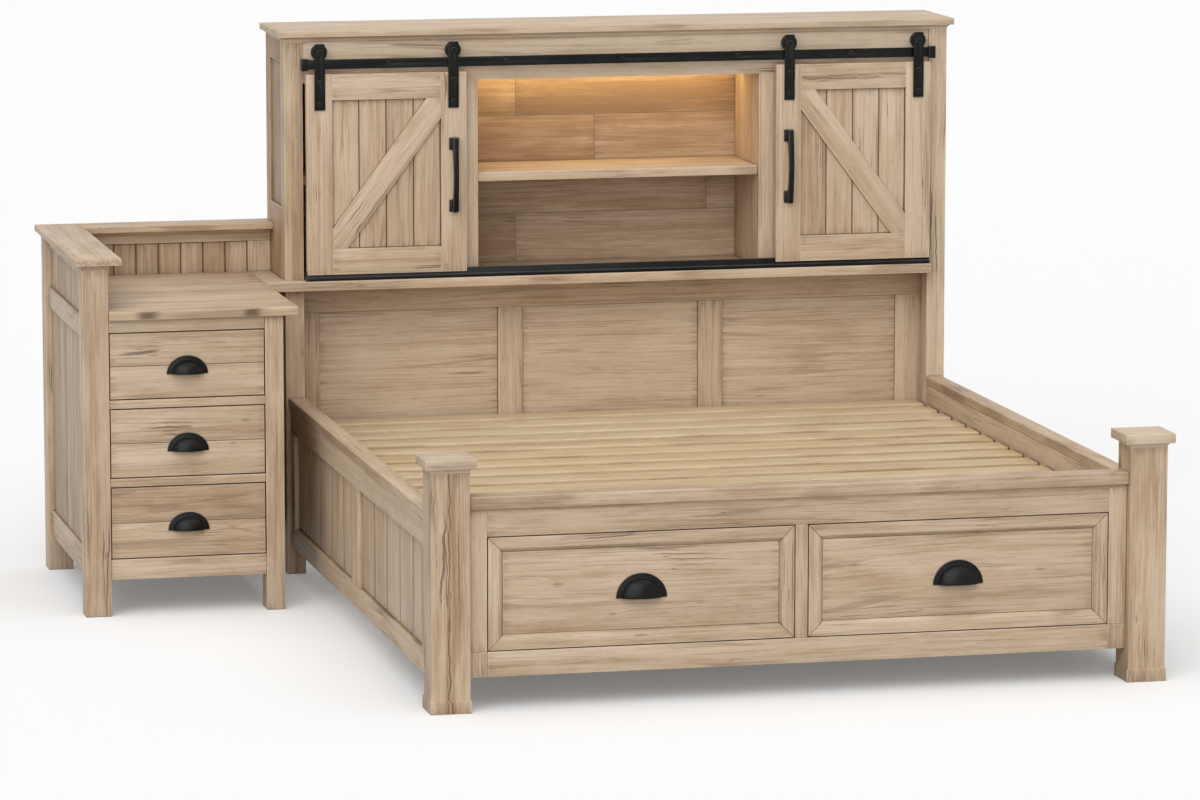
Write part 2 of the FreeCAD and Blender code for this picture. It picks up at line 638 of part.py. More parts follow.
def rail_fasteners():
    """Angle brackets at the foot posts, and bolts through the head legs into the rails' ends."""
    z = BRACKET_LOW
    bolt_x = (max(HEAD_INNER, BAY_HALF) + min(HEAD_HALF, SIDE_OUTER)) / 2
    head_back = HEAD_FRONT + HEAD_POST_DEPTH
    for side in (LEFT, RIGHT):
        x0, y0 = BAY_HALF, POST_WIDTH
        outline = [(x0, y0), (x0, y0 + BRACKET_LEG), (x0 - BRACKET_THICK, y0 + BRACKET_LEG),
                   (x0 - BRACKET_THICK, y0 + BRACKET_THICK), (x0 - BRACKET_LEG, y0 + BRACKET_THICK),
                   (x0 - BRACKET_LEG, y0)]
        keep("rail_fasteners", prism([V(side * u, w, z) for u, w in outline], V(0, 0, BRACKET_HEIGHT)))
        for height in BED_BOLT_HEIGHTS:
            tip = V(side * bolt_x, HEAD_FRONT - BED_BOLT_REACH, height)
            seat = V(side * bolt_x, head_back - BED_BOLT_HEAD, height)
            length = seat.y - tip.y
            bolt = rod(BED_BOLT_RADIUS, tip, V(0, 1, 0), length)
            keep("rail_fasteners", bolt.fuse(rod(BED_BOLT_HEAD_RADIUS, seat, V(0, 1, 0), BED_BOLT_HEAD)))
            hole = rod(BED_BOLT_RADIUS + BOLT_HOLE_GAP, tip - V(0, BOLT_HOLE_GAP, 0), V(0, 1, 0),
                       length + BOLT_HOLE_GAP)
            hole = hole.fuse(rod(BED_BOLT_HEAD_RADIUS + BOLT_HOLE_GAP, seat, V(0, 1, 0), BED_BOLT_HEAD))
            for name in ("side_frames", "side_panels", "head_post_left", "head_post_right"):
                drill(name, hole)


def head_case():
    front_y = (HEAD_FRONT, HEAD_FRONT + HEAD_POST_DEPTH)
    back_y = (HEAD_BACK - HEAD_POST_DEPTH, HEAD_BACK)
    between = (front_y[1] + JOINT_GAP, back_y[0] - JOINT_GAP)
    keep("head_post_left",
         board(sides(LEFT, HEAD_INNER, HEAD_HALF), front_y, (0, LEDGE_BOTTOM)),
         board(sides(LEFT, HEAD_INNER, HEAD_HALF), front_y, (LEDGE_TOP, CROWN_BASE)))
    keep("head_post_right", board(sides(RIGHT, HEAD_INNER, HEAD_HALF), front_y, (0, CROWN_BASE)))
    rails = ((HEAD_SIDE_BOTTOM, HEAD_SIDE_BOTTOM + HEAD_SIDE_RAIL),
             (HEAD_SIDE_MID_TOP - HEAD_SIDE_MID_RAIL, HEAD_SIDE_MID_TOP),
             (CROWN_BASE - HEAD_SIDE_RAIL, CROWN_BASE))
    for side in (LEFT, RIGHT):
        keep("head_sides", board(sides(side, HEAD_INNER, HEAD_HALF), back_y, (0, CROWN_BASE)))
        rail_x = sides(side, HEAD_HALF - HEAD_SIDE_THICK, HEAD_HALF)
        panel_out = HEAD_HALF - HEAD_SIDE_RECESS
        panel_x = sides(side, panel_out - HEAD_SIDE_PANEL, panel_out)
        for rail in rails:
            keep("head_sides", board(rail_x, between, rail))
        for lower, upper in zip(rails, rails[1:]):
            keep("head_sides", board(panel_x, between, (lower[1] + JOINT_GAP, upper[0] - JOINT_GAP)))

    cove_z = (CROWN_BASE, CROWN_BASE + CROWN_COVE)
    cove = HEAD_HALF + CROWN_COVE
    slab = HEAD_HALF + CROWN_OVERHANG
    keep("head_crown",
         board((-slab, slab), (HEAD_FRONT - CROWN_OVERHANG, HEAD_BACK),
               (cove_z[1] + JOINT_GAP, CROWN_TOP)),
         coved_board((-cove, cove), (HEAD_FRONT - CROWN_COVE, HEAD_BACK), cove_z, CROWN_COVE,
                     ("left", "right", "front")))


def track_bolt_places():
    """X places of the bolts that hold the track to the header."""
    last = TRACK_HALF - STOP_LENGTH - TRACK_BOLT_INSET
    return [-last + i * 2 * last / (TRACK_BOLTS - 1) for i in range(TRACK_BOLTS)]


def head_inside():
    reach = HEAD_INNER - JOINT_GAP
    header_back = FRAME_FACE + HEADER_THICK
    header = board((-reach, reach), (FRAME_FACE, header_back), (HEADER_BOTTOM, CROWN_BASE))
    for x in track_bolt_places():
        header = header.cut(rod(TRACK_BOLT_RADIUS + BOLT_HOLE_GAP, V(x, FRAME_FACE, TRACK_MIDDLE),
                                V(0, 1, 0), TRACK_BOLT_REACH + BOLT_HOLE_GAP))
    keep("head_header", header)

    rows = math.ceil((CROWN_BASE - LEDGE_TOP) / BACK_BOARD_HEIGHT)
    for row in range(rows):
        z0 = LEDGE_TOP + row * BACK_BOARD_HEIGHT
        z1 = min(z0 + BACK_BOARD_HEIGHT - BACK_BOARD_LINE, CROWN_BASE)
        butt = BACK_BUTT_OFFSETS[row % len(BACK_BUTT_OFFSETS)]
        y = (BACK_FACE, BACK_FACE + BACK_BOARD_THICK)
        keep("head_back_boards",
             board((-reach, butt - BACK_BOARD_LINE / 2), y, (z0, z1)),
             board((butt + BACK_BOARD_LINE / 2, reach), y, (z0, z1)))

    inside_back = BACK_FACE - JOINT_GAP
    jamb_y = (FRAME_FACE, FRAME_FACE + JAMB_DEPTH)
    partition_out = CUBBY_HALF + PARTITION_THICK
    for side in (LEFT, RIGHT):
        keep("head_partitions",
             board(sides(side, CUBBY_HALF, CUBBY_HALF + JAMB_WIDTH), jamb_y,
                   (LEDGE_TOP, HEADER_BOTTOM - JOINT_GAP)),
             board(sides(side, CUBBY_HALF, partition_out),
                   (max(header_back, jamb_y[1]) + JOINT_GAP, inside_back), (LEDGE_TOP, CROWN_BASE)))
        keep("head_shelves",
             board(sides(side, partition_out + JOINT_GAP, HEAD_INNER - JOINT_GAP),
                   (FRAME_FACE + SIDE_SHELF_SETBACK, inside_back), (SHELF_TOP - SHELF_THICK, SHELF_TOP)))
    cubby = CUBBY_HALF - JOINT_GAP
    ceiling = HEADER_BOTTOM + CEILING_LIFT
    keep("head_shelves",
         board((-cubby, cubby), (FRAME_FACE + SHELF_SETBACK, inside_back),
               (SHELF_TOP - SHELF_THICK, SHELF_TOP)),
         board((-cubby, cubby), (header_back + JOINT_GAP, inside_back), (ceiling, ceiling + CEILING_THICK)))


def head_lower():
    """The ledge, which runs on under the left post to the nightstand, and the panelling below it."""
    left_inner, left_outer = -HEAD_INNER, -HEAD_HALF
    stand = STAND_TOP_RIGHT + JOINT_GAP
    post_back = HEAD_FRONT + HEAD_POST_DEPTH
    right = HEAD_INNER - JOINT_GAP
    outline = [(stand, LEDGE_FRONT), (right, LEDGE_FRONT), (right, BACK_FACE),
               (left_inner + JOINT_GAP, BACK_FACE), (left_inner + JOINT_GAP, post_back),
               (left_outer - JOINT_GAP, post_back), (left_outer - JOINT_GAP, GALLERY_FACE - JOINT_GAP),
               (stand, GALLERY_FACE - JOINT_GAP)]
    keep("head_ledge", prism([V(u, w, LEDGE_BOTTOM) for u, w in outline], V(0, 0, LEDGE_THICK)))

    reach = HEAD_HALF - HEAD_SIDE_THICK - JOINT_GAP
    y = (BAY_BACK, BAY_BACK + LOWER_FRAME_THICK)
    low, high = LOWER_BOTTOM + LOWER_RAIL, LEDGE_BOTTOM - JOINT_GAP - LOWER_RAIL
    keep("head_lower",
         board((-reach, reach), y, (high, high + LOWER_RAIL)),
         board((-reach, reach), y, (LOWER_BOTTOM, low)))
    field = 2 * (reach - LOWER_END_STILE)
    bay = (field - (LOWER_BAYS - 1) * LOWER_MID_STILE) / LOWER_BAYS
    upright = (low + JOINT_GAP, high - JOINT_GAP)
    panel_y = (BAY_BACK + LOWER_PANEL_RECESS, BAY_BACK + LOWER_PANEL_RECESS + LOWER_PANEL_THICK)
    start = -reach + LOWER_END_STILE
    keep("head_lower", board((-reach, start), y, upright), board((-start, reach), y, upright))
    for i in range(LOWER_BAYS):
        left = start + i * (bay + LOWER_MID_STILE)
        keep("head_lower", board((left + JOINT_GAP, left + bay - JOINT_GAP), panel_y, upright))
        if i + 1 < LOWER_BAYS:
            keep("head_lower", board((left + bay, left + bay + LOWER_MID_STILE), y, upright))


def cubby_light():
    top = HEADER_BOTTOM + CEILING_LIFT
    half = CUBBY_HALF - LED_END_GAP
    y1 = BACK_FACE - LED_FROM_BACK
    y0 = y1 - LED_WIDTH
    channel = board((-half, half), (y0, y1), (top - LED_HEIGHT, top))
    hollow = board((-half, half), (y0 + LED_WALL, y1 - LED_WALL), (top - LED_HEIGHT, top - LED_WALL))
    keep("led_channel", channel.cut(hollow))
    lens_y = (y0 + LED_WALL + JOINT_GAP, y1 - LED_WALL - JOINT_GAP)
    keep("led_diffuser", board((-half, half), lens_y, (top - LED_HEIGHT, top - LED_HEIGHT + LED_LENS)))

    back = BACK_FACE + BACK_BOARD_THICK
    axis = V(CUBBY_HALF / 2, BACK_FACE, INLET_Z)
    plate = board((axis.x - INLET_WIDTH / 2, axis.x + INLET_WIDTH / 2), (back, back + INLET_PLATE),
                  (INLET_Z - INLET_HEIGHT / 2, INLET_Z + INLET_HEIGHT / 2))
    barrel = rod(INLET_BARREL_RADIUS, axis, V(0, 1, 0), BACK_BOARD_THICK)
    bore = rod(INLET_BORE_RADIUS, axis + V(0, INLET_END_WALL, 0), V(0, 1, 0), BACK_BOARD_THICK + INLET_PLATE)
    keep("led_power_inlet", plate.fuse(barrel).cut(bore))
    hole = rod(INLET_BARREL_RADIUS + BOLT_HOLE_GAP, axis, V(0, 1, 0), BACK_BOARD_THICK)
    drill("head_back_boards", hole)


def door_track():
    y = (TRACK_FRONT, TRACK_BACK)
    to_header = FRAME_FACE - TRACK_BACK
    track = board((-TRACK_HALF, TRACK_HALF), y, (TRACK_BOTTOM, TRACK_TOP))
    for x in track_bolt_places():
        middle = V(x, TRACK_BACK, TRACK_MIDDLE)
        hole = rod(TRACK_BOLT_RADIUS + BOLT_HOLE_GAP, middle - V(0, TRACK_THICK, 0), V(0, 1, 0),
                   TRACK_THICK + to_header)
        track = track.cut(hole)
        keep("track_fittings", rod(SPACER_RADIUS, middle, V(0, 1, 0), to_header).cut(hole))
        head = rod(TRACK_BOLT_HEAD_RADIUS, middle - V(0, TRACK_THICK + TRACK_BOLT_HEAD, 0), V(0, 1, 0),
                   TRACK_BOLT_HEAD)
        shank = rod(TRACK_BOLT_RADIUS, middle - V(0, TRACK_THICK, 0), V(0, 1, 0),
                    TRACK_THICK + to_header + TRACK_BOLT_REACH)
        keep("track_fittings", head.fuse(shank))
    keep("door_track", track)

    for side in (LEFT, RIGHT):
        x = sides(side, TRACK_HALF - STOP_LENGTH, TRACK_HALF)
        block = board(x, (TRACK_FRONT - STOP_WALL, TRACK_BACK + STOP_WALL),
                      (TRACK_BOTTOM - STOP_LIP, TRACK_TOP + STOP_RISE))
        slot = board(x, y, (TRACK_BOTTOM, TRACK_TOP))
        keep("track_fittings", block.cut(slot))

    reach = HEAD_INNER - GUIDE_END_GAP
    bar, fin = GUIDE_WIDTH / 2, GUIDE_FIN / 2
    top, tip = LEDGE_TOP + GUIDE_HEIGHT, LEDGE_TOP + GUIDE_HEIGHT + GUIDE_FIN_RISE
    section = [(-bar, LEDGE_TOP), (bar, LEDGE_TOP), (bar, top), (fin, top), (fin, tip), (-fin, tip),
               (-fin, top), (-bar, top)]
    keep("door_guide", prism([V(-reach, GUIDE_MIDDLE + a, b) for a, b in section], V(2 * reach, 0, 0)))


def strap_places(side):
    """X places of a door's outer and inner hanger straps."""
    return sides(side, DOOR_OUTER - STRAP_INSET, DOOR_INNER + STRAP_INSET)


def strap_bolt_heights():
    low = STRAP_BOTTOM + STRAP_BOLT_LOW_SHARE * STRAP_LAP
    return (low, low + STRAP_BOLT_PITCH_SHARE * STRAP_LAP)


def door_leaf(side, name):
    """Stiles, rails and brace round four V-grooved planks, slotted below for the guide's fin."""
    y = (DOOR_FRONT, DOOR_BACK)
    tip = LEDGE_TOP + GUIDE_HEIGHT + GUIDE_FIN_RISE
    slot_half = GUIDE_FIN / 2 + GUIDE_SLOT_GAP
    slot = board(sides(side, DOOR_INNER, DOOR_OUTER), (GUIDE_MIDDLE - slot_half, GUIDE_MIDDLE + slot_half),
                 (DOOR_BOTTOM, tip + GUIDE_SLOT_GAP))
    bolt_holes = []
    for x in strap_places(side):
        for z in strap_bolt_heights():
            bolt_holes.append(rod(STRAP_BOLT_RADIUS + BOLT_HOLE_GAP, V(x, DOOR_FRONT, z), V(0, 1, 0),
                                  DOOR_THICK))
    rail_x = sides(side, DOOR_INNER + DOOR_STILE + JOINT_GAP, DOOR_OUTER - DOOR_STILE - JOINT_GAP)
    members = [
        board(sides(side, DOOR_INNER, DOOR_INNER + DOOR_STILE), y, (DOOR_BOTTOM, DOOR_TOP)).cut(slot),
        board(sides(side, DOOR_OUTER - DOOR_STILE, DOOR_OUTER), y, (DOOR_BOTTOM, DOOR_TOP)).cut(slot),
        board(rail_x, y, (DOOR_BOTTOM, DOOR_BOTTOM + DOOR_RAIL)).cut(slot),
        board(rail_x, y, (DOOR_TOP - DOOR_RAIL, DOOR_TOP)),
    ]
    field_in, field_out = DOOR_INNER + DOOR_STILE, DOOR_OUTER - DOOR_STILE
    field_low, field_high = DOOR_BOTTOM + DOOR_RAIL, DOOR_TOP - DOOR_RAIL
    plank_face = DOOR_BACK - DOOR_PLANK_THICK
    run, rise = field_in - field_out, field_high - field_low
    length = math.hypot(run, rise)
    off_x, off_z = -rise / length * DOOR_BRACE / 2, run / length * DOOR_BRACE / 2
    past_x, past_z = run / length * DOOR_BRACE, rise / length * DOOR_BRACE
    band = [(field_out - past_x + off_x, field_low - past_z + off_z),
            (field_in + past_x + off_x, field_high + past_z + off_z),
            (field_in + past_x - off_x, field_high + past_z - off_z),
            (field_out - past_x - off_x, field_low - past_z - off_z)]
    brace = prism([V(side * a, DOOR_FRONT, b) for a, b in band], V(0, plank_face - DOOR_FRONT - JOINT_GAP, 0))
    field = board(sides(side, field_in + JOINT_GAP, field_out - JOINT_GAP), y,
                  (field_low + JOINT_GAP, field_high - JOINT_GAP))
    keep(f"door_frame_{name}", *members, brace.common(field))
    for hole in bolt_holes:
        drill(f"door_frame_{name}", hole)
    keep(f"door_planks_{name}", *plank_row(sides(side, field_in, field_out), DOOR_PLANKS, plank_face,
                                           DOOR_BACK, (field_low, field_high), "x"))


def door_handle(side, name):
    """A bowed flat bar on two square feet, in the middle of the door's inner stile."""
    x = side * (DOOR_INNER + DOOR_STILE / 2)
    half = HANDLE_HEIGHT / 2
    left = x - HANDLE_WIDTH / 2

    def point(out, up):
        return V(left, DOOR_FRONT - out, HANDLE_MIDDLE + up)

    inside, outside = HANDLE_RISE, HANDLE_RISE + HANDLE_BAR
    foot = half - HANDLE_FOOT_HEIGHT
    edges = [
        Part.LineSegment(point(0, -half), point(0, -foot)),
        Part.LineSegment(point(0, -foot), point(inside, -foot)),
        Part.Arc(point(inside, -foot), point(HANDLE_PROJECTION - HANDLE_BAR, 0), point(inside, foot)),
        Part.LineSegment(point(inside, foot), point(0, foot)),
        Part.LineSegment(point(0, foot), point(0, half)),
        Part.LineSegment(point(0, half), point(outside, half)),
        Part.Arc(point(outside, half), point(HANDLE_PROJECTION, 0), point(outside, -half)),
        Part.LineSegment(point(outside, -half), point(0, -half)),
    ]
    bar = Part.Face(Part.Wire([e.toShape() for e in edges])).extrude(V(HANDLE_WIDTH, 0, 0))
    for up in (-half, foot):
        foot_plate = board((x - HANDLE_FOOT_WIDTH / 2, x + HANDLE_FOOT_WIDTH / 2),
                           (DOOR_FRONT - HANDLE_FOOT_THICK, DOOR_FRONT),
                           (HANDLE_MIDDLE + up, HANDLE_MIDDLE + up + HANDLE_FOOT_HEIGHT))
        bar = bar.fuse(foot_plate)
    keep(f"door_handle_{name}", bar.removeSplitter())


def door_hangers(side, name):
    """Flat straps with their bolts, each carrying a grooved wheel on an axle bolt."""
    back = DOOR_FRONT
    front = back - STRAP_THICK
    half = STRAP_WIDTH / 2
    along = V(0, 1, 0)
    for x, place in zip(strap_places(side), ("outer", "inner")):
        strap = board((x - half, x + half), (front, back), (STRAP_BOTTOM, STRAP_TOP))
        top_corners = [e for e in strap.Edges if min(v.Z for v in e.Vertexes) > AXLE_Z and
                       abs(e.Vertexes[0].X - e.Vertexes[1].X) < JOINT_GAP]
        strap = strap.makeFillet(STRAP_CORNER, top_corners)
        strap = strap.cut(rod(AXLE_RADIUS + BOLT_HOLE_GAP, V(x, front, AXLE_Z), along, STRAP_THICK))
        for z in strap_bolt_heights():
            strap = strap.cut(rod(STRAP_BOLT_RADIUS + BOLT_HOLE_GAP, V(x, front, z), along, STRAP_THICK))
            head = rod(STRAP_BOLT_HEAD_RADIUS, V(x, front - STRAP_BOLT_HEAD, z), along, STRAP_BOLT_HEAD)
            shank = rod(STRAP_BOLT_RADIUS, V(x, front, z), along, STRAP_THICK + DOOR_THICK)
            keep(f"door_hangers_{name}", head.fuse(shank))
        keep(f"door_hangers_{name}", strap)

        wheel_front = WHEEL_MIDDLE - WHEEL_WIDTH / 2
        wheel_back = WHEEL_MIDDLE + WHEEL_WIDTH / 2
        nut_front = wheel_back + RUNNING_GAP
        axle = rod(AXLE_HEAD_RADIUS, V(x, front - AXLE_HEAD, AXLE_Z), along, AXLE_HEAD)
        axle = axle.fuse(rod(AXLE_RADIUS, V(x, front, AXLE_Z), along, nut_front - front))
        axle = axle.fuse(rod(AXLE_NUT_RADIUS, V(x, nut_front, AXLE_Z), along, AXLE_NUT))
        keep(f"door_hangers_{name}", axle)

        rim = WHEEL_TREAD_RADIUS + WHEEL_FLANGE
        groove = TRACK_THICK / 2 + WHEEL_SIDE_GAP
        ring = rod(rim + WHEEL_FLANGE, V(x, WHEEL_MIDDLE - groove, AXLE_Z), along, 2 * groove)
        ring = ring.cut(rod(WHEEL_TREAD_RADIUS, V(x, WHEEL_MIDDLE - groove, AXLE_Z), along, 2 * groove))
        wheel = rod(rim, V(x, wheel_front, AXLE_Z), along, WHEEL_WIDTH).cut(ring)
        bore = rod(AXLE_RADIUS + AXLE_FIT, V(x, wheel_front, AXLE_Z), along, WHEEL_WIDTH)
        keep(f"door_wheel_{name}_{place}", wheel.cut(bore))


def stand_openings():
    """Low and high Z of each drawer opening, the bottom one first."""
    low = STAND_BOTTOM + STAND_BOTTOM_RAIL
    places = []
    for height in STAND_OPENINGS:
        places.append((low, low + height))
        low += height + STAND_DIVIDER
    return places


def nightstand_case():
    front_y = (STAND_FRONT, STAND_FRONT + STAND_LEG)
    back_y = (HEAD_BACK - STAND_LEG, HEAD_BACK)
    left_x = (STAND_LEFT, STAND_LEFT + STAND_LEG)
    right_x = (STAND_RIGHT - STAND_RIGHT_LEG, STAND_RIGHT)
    under_top = STAND_TOP_BOTTOM - JOINT_GAP
    for y in (front_y, back_y):
        keep("nightstand_legs",
             board(left_x, y, (0, GALLERY_POST_TOP)),
             board(right_x, y, (0, under_top)))

    inner_left = STAND_LEFT + STAND_RAIL_INSET + STAND_RAIL_THICK + JOINT_GAP
    top = board((inner_left, STAND_TOP_RIGHT),
                (STAND_FRONT - STAND_TOP_OVERHANG, GALLERY_FACE - JOINT_GAP), (STAND_TOP_BOTTOM, LEDGE_TOP))
    notch = STAND_LEG + JOINT_GAP
    notch_x, notch_z = (STAND_LEFT, STAND_LEFT + notch), (0, GALLERY_TOP)
    front_notch = board(notch_x, (STAND_FRONT - STAND_TOP_OVERHANG, STAND_FRONT + notch), notch_z)
    back_notch = board(notch_x, (HEAD_BACK - notch, HEAD_BACK), notch_z)
    keep("nightstand_top", top.cut(front_notch).cut(back_notch))

    x0, x1 = STAND_OPENING[0] + JOINT_GAP, STAND_OPENING[1] - JOINT_GAP
    rail_y = (STAND_FACE, STAND_FACE + STAND_RAIL_THICK)
    openings = stand_openings()
    edges = [STAND_BOTTOM] + [z for opening in openings for z in opening] + [under_top]
    for low, high in zip(edges[0::2], edges[1::2]):
        keep("nightstand_frame", board((x0, x1), rail_y, (low, high)))

    side_y = (front_y[1] + JOINT_GAP, back_y[0] - JOINT_GAP)
    rail_x = (STAND_LEFT + STAND_RAIL_INSET, STAND_LEFT + STAND_RAIL_INSET + STAND_RAIL_THICK)
    face = rail_x[0] + STAND_PANEL_RECESS
    mid_top = LEDGE_TOP - STAND_SIDE_MID_DROP
    rails = ((STAND_BOTTOM, STAND_BOTTOM + STAND_SIDE_BOTTOM_RAIL),
             (mid_top - STAND_SIDE_MID_RAIL, mid_top),
             (GALLERY_POST_TOP - GALLERY_RAIL, GALLERY_POST_TOP))
    for rail in rails:
        keep("nightstand_frame", board(rail_x, side_y, rail))
    for lower, upper in zip(rails, rails[1:]):
        keep("nightstand_panels", *plank_row((front_y[1], back_y[0]), STAND_SIDE_BOARDS, face,
                                             face + STAND_PANEL_THICK, (lower[1], upper[0]), "y"))

    right_face = STAND_RIGHT - STAND_RAIL_INSET
    panel_z = (STAND_BOTTOM, under_top)
    keep("nightstand_panels",
         board((right_face - STAND_PANEL_THICK, right_face), side_y, panel_z),
         board((x0, x1), (HEAD_BACK - STAND_RAIL_INSET - STAND_PANEL_THICK, HEAD_BACK - STAND_RAIL_INSET),
               panel_z))
    filler_y = (GALLERY_FACE, GALLERY_FACE + STAND_RAIL_THICK)
    keep("nightstand_panels",
         board((STAND_RIGHT + JOINT_GAP, -HEAD_HALF - JOINT_GAP), filler_y,
               (STAND_BOTTOM, under_top)))


def nightstand_gallery():
    """The low wall behind and beside the nightstand's top, under an L-shaped coved cap."""
    y = (GALLERY_FACE, GALLERY_FACE + STAND_RAIL_THICK)
    left = STAND_LEFT + STAND_LEG + JOINT_GAP
    right = -HEAD_HALF - JOINT_GAP
    rail_low = GALLERY_POST_TOP - GALLERY_RAIL
    stile_left = right - GALLERY_STILE
    keep("nightstand_frame",
         board((left, right), y, (rail_low, GALLERY_POST_TOP)),
         board((stile_left, right), y, (STAND_TOP_BOTTOM, rail_low - JOINT_GAP)))
    face = GALLERY_FACE + STAND_PANEL_RECESS
    board_z = (STAND_TOP_BOTTOM - JOINT_GAP, rail_low)
    keep("nightstand_panels", *plank_row((left, stile_left), STAND_GALLERY_BOARDS, face,
                                         face + STAND_PANEL_THICK, board_z, "x"))

    slab_z = (GALLERY_TOP - GALLERY_CAP_THICK, GALLERY_TOP)
    cove_z = (GALLERY_POST_TOP, slab_z[0])
    side_in = STAND_LEFT + STAND_LEG + GALLERY_INNER_OVERHANG
    back_in = HEAD_BACK - STAND_LEG - GALLERY_INNER_OVERHANG
    cove_x = (STAND_LEFT - GALLERY_COVE, STAND_LEFT + STAND_LEG + GALLERY_COVE)
    cove_y = (HEAD_BACK - STAND_LEG - GALLERY_COVE, HEAD_BACK)
    side_cap = board((STAND_LEFT - GALLERY_OVERHANG, side_in), (STAND_FRONT - GALLERY_OVERHANG, HEAD_BACK),
                     slab_z)
    side_cove = coved_board(cove_x, (STAND_FRONT - GALLERY_COVE, HEAD_BACK), cove_z, GALLERY_COVE,
                            ("left", "right", "front"))
    back_cap = board((side_in + JOINT_GAP, right), (back_in, HEAD_BACK), slab_z)
    back_cove = coved_board((cove_x[1] + JOINT_GAP, right), cove_y, cove_z, GALLERY_COVE, ("front",))
    keep("nightstand_gallery_cap", side_cap.fuse(side_cove).removeSplitter(),
         back_cap.fuse(back_cove.cut(side_cap)).removeSplitter())


def nightstand_drawers():
    x = (STAND_OPENING[0] + DRAWER_REVEAL, STAND_OPENING[1] - DRAWER_REVEAL)
    box_x = (STAND_OPENING[0] + STAND_BOX_SIDE_GAP, STAND_OPENING[1] - STAND_BOX_SIDE_GAP)
    back = STAND_FACE + STAND_FRONT_THICK
    runner_y = (STAND_FACE + STAND_RAIL_THICK + JOINT_GAP, HEAD_BACK - STAND_LEG)
    for number, (low, high) in enumerate(reversed(stand_openings()), start=1):
        middle = (low + high) / 2
        keep(f"nightstand_drawer_front_{number}",
             board(x, (STAND_FACE, back), (low + DRAWER_REVEAL, middle - JOINT_GAP / 2)),
             board(x, (STAND_FACE, back), (middle + JOINT_GAP / 2, high - DRAWER_REVEAL)))
        box_z = (low + STAND_BOX_LIFT, high - STAND_BOX_HEADROOM)
        keep(f"nightstand_drawer_box_{number}", *drawer_box(box_x, back, STAND_BOX_DEPTH, box_z))
        keep(f"nightstand_pull_{number}",
             cup_pull(STAND_PULL_WIDTH, STAND_PULL_HEIGHT, sum(x) / 2, STAND_FACE,
                      middle - (STAND_PULL_HEIGHT + PULL_PLATE_RIM) / 2))
        keep("drawer_runners",
             *drawer_guides(STAND_OPENING[0], 1, runner_y, box_z),
             *drawer_guides(STAND_OPENING[1], -1, runner_y, box_z))


def build():
    foot_posts()
    foot_face()
    foot_drawers()
    side_rails()
    deck()
    head_case()
    rail_fasteners()
    head_inside()
    head_lower()
    cubby_light()
    door_track()
    for side, name in ((LEFT, "left"), (RIGHT, "right")):
        door_leaf(side, name)
        door_handle(side, name)
        door_hangers(side, name)
    nightstand_case()
    nightstand_gallery()
    nightstand_drawers()


def write():
    os.makedirs("parts", exist_ok=True)
    for name, solids in nodes.items():
        shape = solids[0] if len(solids) == 1 else Part.makeCompound(solids)
        shape.translate(-ORIGIN)
        shape.exportStep(f"parts/{name}.step")


build()
write()
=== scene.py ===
import json
import math
import random
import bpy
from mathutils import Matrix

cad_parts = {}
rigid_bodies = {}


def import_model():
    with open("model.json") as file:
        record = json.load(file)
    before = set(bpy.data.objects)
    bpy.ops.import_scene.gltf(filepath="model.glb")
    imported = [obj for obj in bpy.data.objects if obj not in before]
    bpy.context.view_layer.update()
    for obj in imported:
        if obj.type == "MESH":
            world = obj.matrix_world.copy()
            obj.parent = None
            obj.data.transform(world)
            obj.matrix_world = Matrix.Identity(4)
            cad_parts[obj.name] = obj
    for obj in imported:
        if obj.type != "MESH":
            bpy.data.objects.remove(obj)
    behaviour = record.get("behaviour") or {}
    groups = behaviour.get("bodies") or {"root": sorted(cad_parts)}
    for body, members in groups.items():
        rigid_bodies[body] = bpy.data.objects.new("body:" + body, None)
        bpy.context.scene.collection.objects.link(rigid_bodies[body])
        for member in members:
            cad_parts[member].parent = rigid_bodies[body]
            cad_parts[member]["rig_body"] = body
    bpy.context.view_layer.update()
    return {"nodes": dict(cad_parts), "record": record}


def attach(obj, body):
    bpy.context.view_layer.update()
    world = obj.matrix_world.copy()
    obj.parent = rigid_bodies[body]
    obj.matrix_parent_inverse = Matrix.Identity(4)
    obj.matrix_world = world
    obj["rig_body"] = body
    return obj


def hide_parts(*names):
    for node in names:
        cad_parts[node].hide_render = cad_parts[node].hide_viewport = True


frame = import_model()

from types import SimpleNamespace

import bmesh
import bpy
from mathutils import Matrix, Vector

scene = bpy.context.scene
scene.view_settings.view_transform = "Standard"
nodes = frame["nodes"]

WHITE = (1.0, 1.0, 1.0, 1.0)
BLACK = (0.0, 0.0, 0.0, 1.0)


# Node graphs

